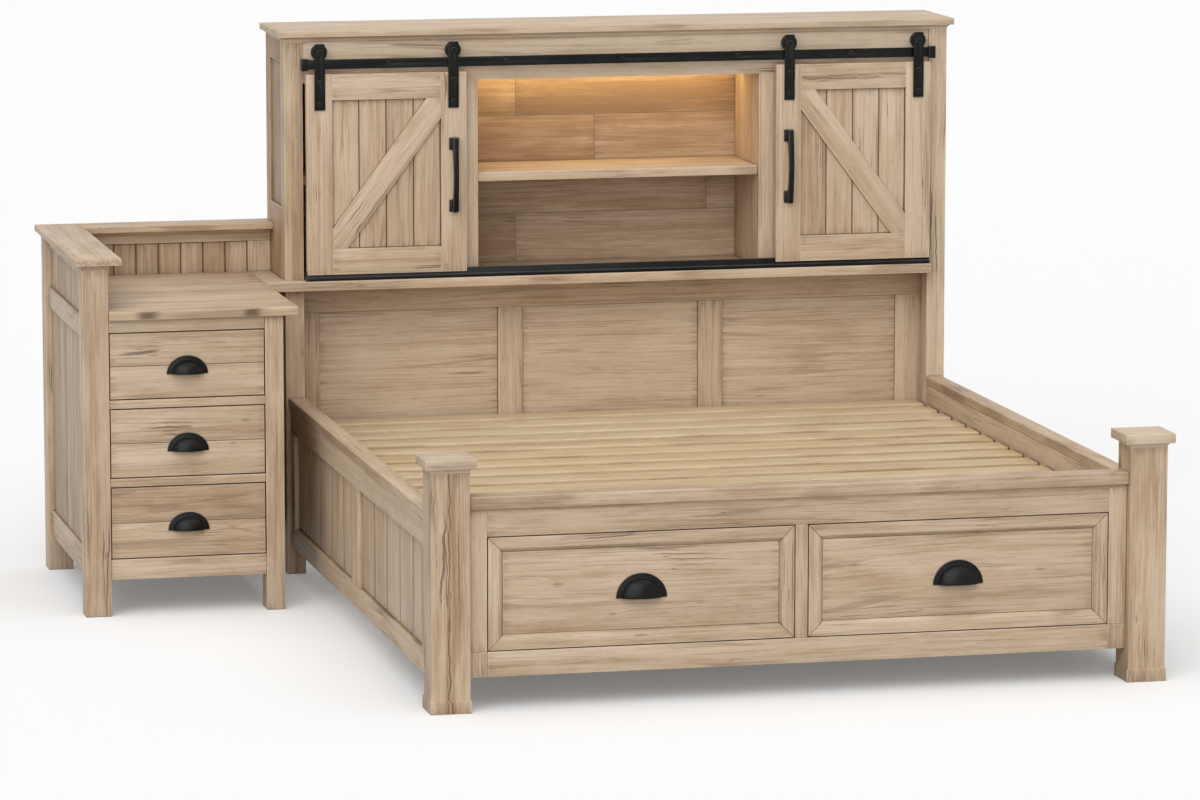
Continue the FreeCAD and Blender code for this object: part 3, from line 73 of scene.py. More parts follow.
class Graph:
    """The node tree of a material or a world, with short calls for the nodes used here."""

    def __init__(self, owner):
        owner.use_nodes = True
        self.owner = owner
        self.tree = owner.node_tree
        self.tree.nodes.clear()

    def node(self, kind, inputs=None, **settings):
        made = self.tree.nodes.new(kind)
        for key, value in settings.items():
            setattr(made, key, value)
        for key, value in (inputs or {}).items():
            self.feed(made.inputs[key], value)
        return made

    def feed(self, socket, value):
        if isinstance(value, bpy.types.NodeSocket):
            self.tree.links.new(value, socket)
        else:
            socket.default_value = value

    def math(self, operation, a, b=0.0):
        made = self.node("ShaderNodeMath", operation=operation)
        self.feed(made.inputs[0], a)
        self.feed(made.inputs[1], b)
        return made.outputs[0]

    def plus(self, a, b):
        return self.math("ADD", a, b)

    def minus(self, a, b):
        return self.math("SUBTRACT", a, b)

    def times(self, a, b):
        return self.math("MULTIPLY", a, b)

    def over(self, a, b):
        return self.math("DIVIDE", a, b)

    def most(self, a, b):
        return self.math("MAXIMUM", a, b)

    def least(self, a, b):
        return self.math("MINIMUM", a, b)

    def above(self, a, b):
        return self.math("GREATER_THAN", a, b)

    def amount(self, a):
        return self.math("ABSOLUTE", a)

    def root(self, a):
        return self.math("SQRT", a)

    def within_one(self, a):
        return self.most(self.least(a, 1.0), -1.0)

    def sway(self, noise, amount):
        """A noise's swing to either side of its middle, times an amount."""
        return self.times(self.minus(noise, 0.5), amount)

    def vector(self, operation, a, b):
        made = self.node("ShaderNodeVectorMath", operation=operation)
        self.feed(made.inputs[0], a)
        self.feed(made.inputs[1], b)
        return made.outputs[0]

    def scaled(self, vector, rates):
        return self.vector("MULTIPLY", vector, rates)

    def length(self, vector):
        return self.node("ShaderNodeVectorMath", {0: vector}, operation="LENGTH").outputs["Value"]

    def combine(self, x, y, z):
        return self.node("ShaderNodeCombineXYZ", {"X": x, "Y": y, "Z": z}).outputs[0]

    def split(self, vector):
        made = self.node("ShaderNodeSeparateXYZ", {"Vector": vector})
        return made.outputs["X"], made.outputs["Y"], made.outputs["Z"]

    def number(self, attribute):
        return self.node("ShaderNodeAttribute", attribute_name=attribute).outputs["Fac"]

    def triple(self, attribute):
        return self.node("ShaderNodeAttribute", attribute_name=attribute).outputs["Vector"]

    def place(self):
        return self.node("ShaderNodeTexCoord").outputs["Object"]

    def noise(self, vector, scale=1.0, detail=2.0, roughness=0.5):
        made = self.node("ShaderNodeTexNoise", {
            "Vector": vector, "Scale": scale, "Detail": detail, "Roughness": roughness},
            noise_dimensions="3D")
        return made.outputs["Fac"]

    def span(self, value, low, high, to_low=0.0, to_high=1.0, smooth=True):
        made = self.node("ShaderNodeMapRange", {
            "Value": value, "From Min": low, "From Max": high, "To Min": to_low, "To Max": to_high},
            interpolation_type="SMOOTHSTEP" if smooth else "LINEAR")
        return made.outputs["Result"]

    def fade(self, value, low, high):
        return self.span(value, low, high, 1.0, 0.0)

    def between(self, share, low, high):
        return self.span(share, 0.0, 1.0, low, high, smooth=False)

    def mix(self, factor, a, b):
        made = self.node("ShaderNodeMix", data_type="RGBA", blend_type="MIX")
        self.feed(made.inputs["Factor"], factor)
        self.feed(made.inputs[6], a)
        self.feed(made.inputs[7], b)
        return made.outputs[2]

    def bump(self, height, strength, distance):
        made = self.node("ShaderNodeBump", {"Height": height, "Strength": strength, "Distance": distance})
        return made.outputs["Normal"]

    def openness(self):
        """How open the place is: less than one in the corners between neighbouring surfaces."""
        made = self.node("ShaderNodeAmbientOcclusion", {"Distance": CREVICE}, samples=CREVICE_SAMPLES)
        return made.outputs["AO"]

    def shown(self):
        """One for a ray that shows a surface to the camera, straight, in a reflection or through glass."""
        path = self.node("ShaderNodeLightPath")
        return self.most(path.outputs["Is Camera Ray"], self.most(
            path.outputs["Is Glossy Ray"], path.outputs["Is Transmission Ray"]))

    def surface(self, inputs):
        shader = self.node("ShaderNodeBsdfPrincipled", inputs)
        output = self.node("ShaderNodeOutputMaterial")
        self.tree.links.new(shader.outputs[0], output.inputs["Surface"])
        return self.owner

    def blend(self, factor, first, second, output):
        mixed = self.node("ShaderNodeMixShader", {0: factor, 1: first.outputs[0], 2: second.outputs[0]})
        self.tree.links.new(mixed.outputs[0], self.node(output).inputs["Surface"])
        return self.owner


def material_graph(name):
    return Graph(bpy.data.materials.new(name))


def linear(red, green, blue):
    """An sRGB colour given in 0 to 255 as the linear colour that a socket takes."""
    def one(value):
        value /= 255
        return value / 12.92 if value <= 0.04045 else ((value + 0.055) / 1.055) ** 2.4
    return (one(red), one(green), one(blue), 1.0)


# Wood

# How far a neighbouring surface may be and still darken the corner between them with painted shade.
CREVICE = 0.007
CREVICE_SAMPLES = 5

# In the values below, rates are counts to a metre along, across and through a board, or along and to the side
# of its fibres. A pair of levels says where a noise begins to count and where it counts in full.

# How far apart two boards may lie in the patterns, and what stands in for a divisor of nought.
OWN_SHIFT = (37.0, 23.0, 29.0)
TINY = 0.0001

# Scattered knots: the cells that may hold one, how far it may stray in its cell, its radius in cells, and
# where its face and the swollen fibres round it fade out, in radii.
KNOT_CELLS = (4.2, 7.5, 7.5)
KNOT_STRAY = 0.85
KNOT_RADII = (0.03, 0.085)
KNOT_FACE = (0.35, 1.15)
KNOT_SWELL = (0.5, 3.0)
# The check through a scattered knot, in cells, and how steeply and how far the fibres turn aside there.
KNOT_CHECK_WIDTH = 0.014
KNOT_CHECK_ENDS = (0.04, 0.30)
KNOT_TURN = 9.0
KNOT_PUSH = 0.009

# Knots of a board's own: their shape, how ragged and how mottled they are, and their fades in radii.
SPOT_SHAPE = (0.42, 1.0, 1.0)
SPOT_RAGGED_RATES = (60.0, 210.0, 210.0)
SPOT_RAGGED = 1.3
SPOT_MOTTLE = (0.36, 0.60)
SPOT_FAINTEST = 0.45
SPOT_FACE = (0.4, 1.1)
SPOT_SWELL = (0.6, 1.7)
SPOT_SWELL_MOST = 0.8
# The check through such a knot, its ends in radii, and how the fibres turn aside there, also in radii.
SPOT_CHECK_WIDTH = 0.0016
SPOT_CHECK_ENDS = (1.2, 5.0)
SPOT_TURN = 1.5
SPOT_PUSH_FADE = (0.4, 5.0)
SPOT_PUSH = 0.9

# Fibres: how they wander, and how much less so through the board.
WAVE_RATES = (1.5, 5.0, 5.0)
WAVE_WIDTH = 0.024
WANDER_THROUGH = 0.6
# Growth rings: where their heart may lie beside and behind the board, their rate, and how they change between
# boards and along a board.
HEART_BESIDE = (-0.05, 0.12)
HEART_BEHIND = (0.05, 0.18)
RING_RATE = 170.0
RING_SHIFT = 50.0
RING_DRIFT = 0.3
RING_LEVELS = (0.34, 0.66)
# Bands, streaks, fine fibres, pores and clouds.
BAND_RATES = (0.9, 17.0)
STREAK_RATES = (2.3, 105.0)
FIBRE_RATES = (7.0, 215.0)
PORE_RATES = (30.0, 560.0)
PORE_LEVELS = (0.58, 0.74)
CLOUD_RATES = (4.5, 19.0, 19.0)
# The tint of plain wood, from 0 for the pale tone to 1 for the dark, and how much each pattern sways it.
TINT = 0.44
RING_SWAY, BAND_SWAY, STREAK_SWAY, FIBRE_SWAY, CLOUD_SWAY, BOARD_SWAY = 0.17, 0.62, 0.46, 0.85, 0.95, 0.22

# The zones that hold the thin brown lines, the drying cracks and the short dark nicks.
ZONE_SHIFT = (5.0, 3.0, 8.0)
ZONE_RATES = (3.4, 10.0, 10.0)
THIN_ZONE = (0.45, 0.58)
CRACK_ZONE = (0.67, 0.72)
NICK_ZONE = (0.60, 0.70)
SPLIT_SHARE = 0.3
# The lines' rates, width and jaggedness, in metres, and how far a line moves sideways through the board.
THIN_RATES, THIN_WIDTH, THIN_JAG = (0.9, 46.0), 0.0024, 0.004
CRACK_RATES, CRACK_WIDTH, CRACK_JAG = (0.8, 52.0), 0.0021, (0.007, 0.022)
JAG_RATES = (26.0, 9.0)
MOST_FLAW = 0.9
SIDE_THROUGH = 0.77
NICK_RATES = (15.0, 120.0)
NICK_LEVELS = (0.69, 0.75)

# A split heart: how its line wanders, its half width as a share of the board's, where it fades out, which
# part of it is cracked, and how much darker it is where the streaks are pale and dark.
SPLIT_RATE = 4.5
SPLIT_WANDER = 0.035
SPLIT_LEVELS = (0.3, 0.7)
SPLIT_WIDTHS = (0.10, 0.26)
SPLIT_FADE = (0.15, 1.0)
SPLIT_CRACKED = (0.30, 0.7)
SPLIT_STREAKS = (0.3, 0.65)
SPLIT_DARKER = (0.15, 0.55)

# Rubbed edges and chips, and the brown that weather leaves along the sides and at the ends of a board. The
# pale edges are partly scuffing and partly a painted highlight.
RUB_RATES = (22.0, 60.0, 60.0)
WORN_AND_HIGHLIT_WIDTH, WORN_AND_HIGHLIT_LEVELS, WORN_AND_HIGHLIT_LEAST = 0.0045, (0.28, 0.60), 0.25
CHIP_WIDTH, CHIP_LEVELS = 0.006, (0.67, 0.74)
WEATHER_SIDE, WEATHER_SIDE_LEVELS = 0.016, (0.47, 0.62)
WEATHER_END, WEATHER_END_LEVELS = 0.030, (0.40, 0.60)
# Where the painted shade in the corners is darkest and where it fades out, on how open the place is.
PAINTED_SHADE_LEVELS = (0.32, 0.80)

# The places of the pale, middle and dark tones in the tint, the other tones as shares of these, and how much
# of them each mark takes.
PALE_AT, MID_AT, DARK_AT = 0.08, 0.46, 0.95
BROWN_OF_DARK = (0.55, 0.47, 0.39)
BLACK_OF_DARK = (0.20, 0.16, 0.13)
BRIGHT_OF_PALE = 1.14
PORE_MIX, THIN_MIX, SWELL_MIX, KNOT_MIX, WEATHER_MIX = 0.28, 0.36, 0.34, 0.66, 0.34
# The last of these is for old stain along the seams together with painted shade in the corners.
NICK_MIX, CRACK_MIX, STAIN_AND_PAINTED_SHADE_MIX = 0.50, 0.70, 0.72

# The relief of fibres, pores, cracks and knots, and the sheen.
FIBRE_RELIEF, PORE_RELIEF, CRACK_RELIEF, KNOT_RELIEF = 0.35, 0.35, 1.5, 0.4
WOOD_BUMP, WOOD_RELIEF = 0.55, 0.0006
WOOD_ROUGH, FIBRE_ROUGH = 0.40, 0.22
WOOD_SPECULAR = 0.45


def read_board(g):
    """The attributes of a board, and its place in patterns that no two boards share."""
    grain = g.triple("grain")
    tone = g.triple("tone")
    place = g.vector("ADD", grain, g.scaled(tone, OWN_SHIFT))
    board = SimpleNamespace(grain=grain, place=place)
    board.own_a, board.own_b, board.own_c = g.split(tone)
    board.along, board.across, board.through = g.split(place)
    board.grain_x, board.grain_y, board.grain_z = g.split(grain)
    board.size_x, board.size_y, board.size_z = g.split(g.triple("board"))
    board.flaw, board.seam, board.lift, board.split = (
        g.number(name) for name in ("flaw", "seam", "lift", "split"))
    return board


def scatter_knots(g, board, share):
    """Knots in a share of the cells. The fibres part round each, and a check runs along the grain."""
    spread = g.scaled(board.place, KNOT_CELLS)
    cells = g.node("ShaderNodeTexVoronoi", {"Vector": spread, "Scale": 1.0, "Randomness": KNOT_STRAY})
    pick, pick_size, pick_check = g.split(cells.outputs["Color"])
    has_knot = g.above(pick, 1.0 - share)
    far = g.over(cells.outputs["Distance"], g.between(pick_size, *KNOT_RADII))
    board.knot = g.times(has_knot, g.fade(far, *KNOT_FACE))
    board.swell = g.times(has_knot, g.fade(far, *KNOT_SWELL))
    off_along, off_aside, _ = g.split(g.vector("SUBTRACT", spread, cells.outputs["Position"]))
    check = g.times(g.fade(g.amount(off_aside), 0.0, KNOT_CHECK_WIDTH),
                    g.fade(g.amount(off_along), *KNOT_CHECK_ENDS))
    board.check = g.times(g.times(check, has_knot), pick_check)
    turned = g.within_one(g.times(off_aside, KNOT_TURN))
    board.push = g.times(g.times(board.swell, turned), KNOT_PUSH)


def plant_knots(g, board):
    """The knots that a board has of its own."""
    size_a, size_b, bold = g.split(g.triple("spot_size"))
    ragged = g.noise(g.scaled(board.place, SPOT_RAGGED_RATES), detail=2.0)
    for spot, radius in (("spot_a", size_a), ("spot_b", size_b)):
        offset = g.vector("SUBTRACT", board.grain, g.triple(spot))
        off_along, off_aside, _ = g.split(offset)
        far = g.over(g.length(g.scaled(offset, SPOT_SHAPE)), g.most(radius, TINY))
        far = g.plus(far, g.sway(ragged, SPOT_RAGGED))
        there = g.times(g.above(radius, 0.0), bold)
        turned = g.within_one(g.over(off_aside, g.most(g.times(radius, SPOT_TURN), TINY)))
        push = g.times(turned, g.times(g.fade(far, *SPOT_PUSH_FADE), radius))
        face = g.times(g.fade(far, *SPOT_FACE), g.span(ragged, *SPOT_MOTTLE, SPOT_FAINTEST, 1.0))
        swell = g.span(far, *SPOT_SWELL, SPOT_SWELL_MOST, 0.0)
        first, last = (g.times(radius, end) for end in SPOT_CHECK_ENDS)
        check = g.times(g.fade(g.amount(off_aside), 0.0, SPOT_CHECK_WIDTH),
                        g.fade(g.amount(off_along), first, last))
        board.push = g.plus(board.push, g.times(push, SPOT_PUSH))
        board.knot = g.most(board.knot, g.times(face, there))
        board.swell = g.most(board.swell, g.times(swell, there))
        board.check = g.most(board.check, g.times(check, there))


def lengthwise(g, board, rates, detail, roughness=0.5):
    """A noise drawn out along the fibres."""
    along_rate, side_rate = rates
    stretched = g.scaled(board.fibres, (along_rate, side_rate, side_rate))
    return g.noise(stretched, detail=detail, roughness=roughness)


def lay_fibres(g, board, figure):
    """Fibres that wander a little from the line of the board, growth rings, streaks and clouds."""
    wave = g.noise(g.scaled(board.place, WAVE_RATES), detail=1.0)
    wander = g.plus(g.sway(wave, WAVE_WIDTH), board.push)
    wander_through = g.times(wander, WANDER_THROUGH)
    side = g.plus(board.across, wander)
    deep_side = g.plus(board.through, wander_through)
    board.fibres = g.combine(board.along, side, deep_side)
    board.both_sides = g.plus(side, g.times(deep_side, SIDE_THROUGH))

    ring_y = g.plus(g.minus(board.grain_y, g.between(board.own_b, *HEART_BESIDE)), wander)
    ring_z = g.plus(g.plus(board.grain_z, g.between(board.own_c, *HEART_BEHIND)), wander_through)
    radius = g.root(g.plus(g.times(ring_y, ring_y), g.times(ring_z, ring_z)))
    ring = g.noise(g.combine(g.times(radius, RING_RATE), g.times(board.own_a, RING_SHIFT),
                             g.times(board.along, RING_DRIFT)), detail=1.5)

    band = lengthwise(g, board, BAND_RATES, detail=2.0)
    board.streak = lengthwise(g, board, STREAK_RATES, detail=3.0, roughness=0.6)
    board.fibre = lengthwise(g, board, FIBRE_RATES, detail=2.0, roughness=0.65)
    board.pores = g.span(lengthwise(g, board, PORE_RATES, detail=1.0), *PORE_LEVELS)
    cloud = g.noise(g.scaled(board.place, CLOUD_RATES), detail=3.0, roughness=0.6)
    board.tint = g.plus(TINT, g.sway(g.span(ring, *RING_LEVELS), RING_SWAY * figure))
    # The lift joins the tint: partly the board's own tone and partly painted light and shade.
    for part in (g.sway(band, BAND_SWAY * figure), g.sway(board.streak, STREAK_SWAY * figure),
                 g.sway(board.fibre, FIBRE_SWAY), g.sway(cloud, CLOUD_SWAY * figure),
                 g.sway(board.own_a, BOARD_SWAY), board.lift):
        board.tint = g.plus(board.tint, part)


def lines(g, board, rates, width, jagged):
    """Thin lines along the grain, a width wide: the borders of long cells."""
    along_rate, side_rate = rates
    aside = g.plus(board.both_sides, g.sway(board.jag, jagged))
    cells = g.node("ShaderNodeTexVoronoi", {
        "Vector": g.combine(g.times(board.along, along_rate), g.times(aside, side_rate), 0.0),
        "Scale": 1.0}, feature="DISTANCE_TO_EDGE", voronoi_dimensions="2D")
    return g.fade(cells.outputs["Distance"], width / 4 * side_rate, width / 2 * side_rate)


def open_cracks(g, board, cracks):
    """Thin brown lines, short dark nicks, drying cracks and a split heart down the middle of the board."""
    board.zone = g.noise(g.scaled(g.vector("ADD", board.place, ZONE_SHIFT), ZONE_RATES), detail=1.0)
    jag_along, jag_aside = JAG_RATES
    board.jag = g.noise(g.combine(g.times(board.along, jag_along), g.times(board.both_sides, jag_aside), 0.0),
                        detail=3.0)
    board.thin = g.times(lines(g, board, THIN_RATES, THIN_WIDTH, THIN_JAG), g.span(board.zone, *THIN_ZONE))
    split_zone = g.plus(board.zone, g.times(board.split, SPLIT_SHARE))
    board.nick = g.times(g.span(lengthwise(g, board, NICK_RATES, detail=1.0), *NICK_LEVELS),
                         g.span(split_zone, *NICK_ZONE, 0.0, cracks))

    middle = g.noise(g.combine(g.times(board.along, SPLIT_RATE), board.own_b, board.own_c), detail=2.0)
    off_middle = g.minus(board.grain_y, g.times(board.size_y, 0.5))
    off_middle = g.amount(g.plus(off_middle, g.sway(middle, SPLIT_WANDER)))
    half_width = g.times(board.size_y, g.span(middle, *SPLIT_LEVELS, *SPLIT_WIDTHS, smooth=False))
    heart = g.times(g.fade(g.over(off_middle, half_width), *SPLIT_FADE), board.flaw)
    board.tint = g.plus(board.tint, g.times(heart, g.span(board.streak, *SPLIT_STREAKS, *SPLIT_DARKER)))

    jagged = g.span(board.flaw, 0.0, MOST_FLAW, *CRACK_JAG, smooth=False)
    fissures = lines(g, board, CRACK_RATES, CRACK_WIDTH, jagged)
    cracked = g.most(g.span(split_zone, *CRACK_ZONE, 0.0, cracks), heart)
    board.crack = g.most(g.times(fissures, cracked), board.check)
    board.crack = g.most(board.crack, g.times(fissures, g.span(heart, *SPLIT_CRACKED)))


def wear_edges(g, board):
    """Worn, chipped and weathered edges, the pale ones partly a painted highlight, old stain in joints,
    painted shade in corners.
    """
    def to_edge(place, length):
        return g.least(place, g.minus(length, place))
    near_x = to_edge(board.grain_x, board.size_x)
    near_y = to_edge(board.grain_y, board.size_y)
    near_z = to_edge(board.grain_z, board.size_z)
    near_side = g.least(near_x, near_y)
    edge = g.most(near_side, g.least(g.most(near_x, near_y), near_z))
    rub = g.noise(g.scaled(board.place, RUB_RATES), detail=3.0, roughness=0.65)
    # Pale edges: partly scuffing and partly a painted highlight.
    board.worn = g.times(g.fade(edge, 0.0, WORN_AND_HIGHLIT_WIDTH), g.span(rub, *WORN_AND_HIGHLIT_LEVELS, WORN_AND_HIGHLIT_LEAST, 1.0))
    board.chip = g.times(g.fade(edge, 0.0, CHIP_WIDTH), g.span(rub, *CHIP_LEVELS))
    along_sides = g.times(g.fade(near_y, 0.0, WEATHER_SIDE), g.span(board.zone, *WEATHER_SIDE_LEVELS))
    at_ends = g.times(g.fade(near_x, 0.0, WEATHER_END), g.span(board.streak, *WEATHER_END_LEVELS))
    board.weathered = g.most(along_sides, at_ends)

    # Old stain that has crept in from the seams, and painted shade in the corners between neighbouring
    # surfaces.
    stain = g.most(g.minus(1.0, g.over(near_side, g.most(board.seam, TINY))), 0.0)
    crept = g.above(board.seam, near_side)
    board.dirt = g.most(g.fade(g.openness(), *PAINTED_SHADE_LEVELS), g.root(g.times(stain, crept)))


def wood(name, pale, mid, dark, knots, wear_and_highlight, figure=1.0, cracks=1.0):
    """Sawn timber that follows each board: streaks, growth rings, fibres, knots, cracks, pale edges that are
    partly scuffing and partly a painted highlight, and painted shade in the corners.

    It reads these attributes of the mesh:
    grain, the place in the board in metres as (along, across, through);
    board, the board's size in the same order;
    tone, three numbers that are the board's own;
    lift, how much darker the board is, partly its own tone and partly painted light and shade;
    flaw, how much of a split heart shows down its middle;
    split, how many drying cracks it has;
    seam, how far stain has crept in from its edges;
    spot_a and spot_b, the places of two knots of its own;
    spot_size, the radii of those two and how dark they are.
    """
    g = material_graph(name)
    board = read_board(g)
    scatter_knots(g, board, knots)
    plant_knots(g, board)
    lay_fibres(g, board, figure)
    open_cracks(g, board, cracks)
    wear_edges(g, board)

    ramp = g.node("ShaderNodeValToRGB", {"Fac": board.tint})
    tones = ramp.color_ramp.elements
    tones[0].color, tones[0].position = pale, PALE_AT
    tones[1].color, tones[1].position = dark, DARK_AT
    tones.new(MID_AT).color = mid
    brown = tuple(tone * share for tone, share in zip(dark, BROWN_OF_DARK)) + (1.0,)
    black = tuple(tone * share for tone, share in zip(dark, BLACK_OF_DARK)) + (1.0,)
    bright = tuple(min(1.0, tone * BRIGHT_OF_PALE) for tone in pale[:3]) + (1.0,)
    colour = ramp.outputs["Color"]
    # Each mark mixes in its tone. The pale edges are partly scuffing and partly a painted highlight, and the
    # last mark is old stain along the seams with painted shade in the corners.
    for mark, strength, tone in (
            (board.pores, PORE_MIX, brown), (board.thin, THIN_MIX, brown), (board.swell, SWELL_MIX, dark),
            (board.knot, KNOT_MIX, brown), (board.weathered, WEATHER_MIX * figure, brown),
            (board.nick, NICK_MIX, black), (board.crack, CRACK_MIX, black), (board.worn, wear_and_highlight, bright),
            (board.chip, wear_and_highlight, brown), (board.dirt, STAIN_AND_PAINTED_SHADE_MIX, black)):
        colour = g.mix(g.times(mark, strength), colour, tone)

    height = g.times(board.fibre, FIBRE_RELIEF)
    for mark, depth in ((board.pores, PORE_RELIEF), (board.crack, CRACK_RELIEF), (board.knot, KNOT_RELIEF)):
        height = g.minus(height, g.times(mark, depth))
    return g.surface({"Base Color": colour,
                      "Roughness": g.plus(WOOD_ROUGH, g.times(board.fibre, FIBRE_ROUGH)),
                      "Normal": g.bump(height, WOOD_BUMP, WOOD_RELIEF),
                      "Specular IOR Level": WOOD_SPECULAR})


# Other materials

# Powder-coated steel: how its cloudy tone, its specks and its pale edges come in, how far its painted shade
# in the corners goes, and its sheen. The pale edges are partly scuffing and partly a painted highlight.
ENAMEL_CLOUDS, ENAMEL_SPECKS, ENAMEL_SPECK_MIX = (0.35, 0.7), (0.66, 0.8), 0.25
ENAMEL_RUB_AND_HIGHLIGHT_LEVELS, ENAMEL_RUB_AND_HIGHLIGHT_LEAST = (0.2, 0.7), 0.5
# Where the painted shade in the corners is darkest and where it fades out, and how much black it mixes in.
ENAMEL_PAINTED_SHADE_LEVELS, ENAMEL_PAINTED_SHADE_MOST = (0.25, 0.85), 0.85
ENAMEL_CLOUD_ROUGH = 0.16
ENAMEL_SPECULAR = 0.18
# Drawn aluminium: the lines' rates along and across, and the roughness between and on them.
DRAWN_ALONG, DRAWN_ACROSS = 2.0, 1500.0
DRAWN_ROUGH = (0.32, 0.46)
# The light's cover: the distance between diodes, and how much the frost and the diodes change its tone.
DIODE_STEP = 0.0167
FROST_MIX, DIODE_MIX = 0.3, 0.35
FROST_ROUGH = (0.35, 0.55)
# Moulded plastic: where the sparks show, and the roughness between and on them.
SPARK_LEVELS = (0.45, 0.75)
SPARK_ROUGH = (0.45, 0.62)
# The levels of a fine noise between which a surface goes from smooth to rough.
FINE_LEVELS = (0.2, 0.8)
SPARK_ROUGH_LEVELS = (0.3, 0.7)


def enamel(name, base, edge_tone, rub_and_highlight_tone, rough):
    """Powder-coated steel: a fine orange-peel skin, faint cloudy tone, pale edges that are partly scuffing
    and partly a painted highlight, and painted shade that darkens the corners.

    It reads the mesh's attribute rubbed, which is 1 on the eased edges and the domed bolt heads that take the
    pale tone.
    """
    g = material_graph(name)
    place = g.place()
    cloud = g.noise(place, scale=14.0, detail=3.0, roughness=0.6)
    speck = g.noise(place, scale=900.0, detail=2.0, roughness=0.6)
    rubbed_and_highlit = g.times(g.number("rubbed_and_highlit"), g.span(cloud, *ENAMEL_RUB_AND_HIGHLIGHT_LEVELS, ENAMEL_RUB_AND_HIGHLIGHT_LEAST, 1.0))
    colour = g.mix(g.span(cloud, *ENAMEL_CLOUDS), base, edge_tone)
    colour = g.mix(g.times(g.span(speck, *ENAMEL_SPECKS), ENAMEL_SPECK_MIX), colour, edge_tone)
    # The pale edges: partly scuffing, partly a painted highlight.
    colour = g.mix(rubbed_and_highlit, colour, rub_and_highlight_tone)
    # Painted shade: the colour goes towards black in the corners between neighbouring surfaces.
    colour = g.mix(g.span(g.openness(), *ENAMEL_PAINTED_SHADE_LEVELS, ENAMEL_PAINTED_SHADE_MOST, 0.0), colour, BLACK)
    return g.surface({"Base Color": colour,
                      "Roughness": g.plus(rough, g.times(cloud, ENAMEL_CLOUD_ROUGH)),
                      "Normal": g.bump(speck, strength=0.12, distance=0.0004),
                      "Specular IOR Level": ENAMEL_SPECULAR})


def extrusion(name, base, streak):
    """Satin aluminium with fine drawing lines along X."""
    g = material_graph(name)
    drawn = g.noise(g.scaled(g.place(), (DRAWN_ALONG, DRAWN_ACROSS, DRAWN_ACROSS)), detail=2.0)
    return g.surface({"Base Color": g.mix(drawn, base, streak),
                      "Roughness": g.span(drawn, *FINE_LEVELS, *DRAWN_ROUGH),
                      "Normal": g.bump(drawn, strength=0.2, distance=0.0002),
                      "Metallic": 1.0})


def lens(name, base, glow, strength):
    """Frosted cover of a light strip, brighter over each diode."""
    g = material_graph(name)
    place = g.place()
    x, _, _ = g.split(place)
    diode = g.amount(g.math("SINE", g.times(x, math.pi / DIODE_STEP)))
    frost = g.noise(place, scale=600.0, detail=2.0)
    return g.surface({"Base Color": g.mix(g.times(frost, FROST_MIX), base, glow),
                      "Emission Color": g.mix(g.times(diode, DIODE_MIX), glow, base),
                      "Emission Strength": strength,
                      "Roughness": g.span(frost, *FINE_LEVELS, *FROST_ROUGH)})


def moulding(name, base, fleck):
    """Black moulded plastic with a fine spark texture."""
    g = material_graph(name)
    spark = g.noise(g.place(), scale=1400.0, detail=2.0, roughness=0.6)
    return g.surface({"Base Color": g.mix(g.span(spark, *SPARK_LEVELS), base, fleck),
                      "Roughness": g.span(spark, *SPARK_ROUGH_LEVELS, *SPARK_ROUGH),
                      "Normal": g.bump(spark, strength=0.3, distance=0.0002)})


materials = {
    "oak": wood("washed_oak", linear(208, 187, 162), linear(192, 168, 141), linear(158, 129, 99),
                knots=0.10, wear_and_highlight=0.55),
    "drawer_wood": wood("drawer_timber", linear(214, 192, 160), linear(200, 174, 139), linear(178, 148, 112),
                        knots=0.02, wear_and_highlight=0.25, figure=0.7, cracks=0.2),
    "slat_wood": wood("slat_timber", linear(218, 198, 166), linear(205, 182, 146), linear(186, 157, 118),
                      knots=0.05, wear_and_highlight=0.25, figure=0.8, cracks=0.3),
    "black_steel": enamel("black_enamel", linear(11, 11, 10), linear(22, 22, 21), linear(74, 74, 72),
                          rough=0.22),
    "aluminium": extrusion("drawn_aluminium", linear(188, 188, 190), linear(206, 206, 208)),
    "diffuser": lens("light_cover", linear(255, 240, 212), linear(255, 219, 142), strength=32.0),
    "black_plastic": moulding("black_moulding", linear(24, 24, 24), linear(40, 40, 40)),
}

SLOT_OF = {entry["node"]: entry["material_slot"] for entry in frame["record"]["subparts"]}
WOODS = ("oak", "drawer_wood", "slat_wood")


# Boards and metalwork

# How near two corners are to be one, and the angles over which edges are real, eased and shown sharp.
MERGE = 0.00002
FLAT_ANGLE = math.radians(1)
WOOD_ANGLE = math.radians(25)
METAL_ANGLE = math.radians(40)
SMOOTH_ANGLE = math.radians(35)
# How far the edges are eased, in how many steps and how round.
EASED = 0.0016
EASED_MOST = {"slats": 0.003, "nightstand_top": 0.0025, "head_crown": 0.0022, "side_caps": 0.0025,
              "foot_rail_cap": 0.0022}
WOOD_STEPS, WOOD_PROFILE = 2, 0.6
METAL_EDGE, METAL_STEPS, METAL_PROFILE = 0.0013, 2, 0.5
# Solids of a metal node that are no wider than this are bolts, whose heads are domed.
BOLT_WIDEST = 0.020
BOLT_DOME, BOLT_STEPS = 0.0024, 3
# A face whose normal leans less than this along a board is one of its sides, and a board whose direction has
# no greater part than this along an axis is a slanting one.
SIDE_LEAN = 0.1
SLANTING = 0.99

# How much the boards of a node grow at their ends and edges, so that no light shows between them.
CLOSED = {"head_back_boards": 0.0005}
# Boards that a node has in the scene alone, as their lowest and highest corners: the strip that closes the
# slot between the nightstand's back and its gallery.
EXTRA = {"nightstand_frame": (Vector((-1.2067, 1.1143, 0.806)), Vector((-0.733, 1.1425, 0.828)))}
# The nodes whose grain doesn't follow the longest edge.
GRAIN_OVERRIDE = {"nightstand_top": Vector((1, 0, 0)), "foot_post_caps": Vector((1, 0, 0)),
                  "nightstand_panels": Vector((0, 0, 1))}
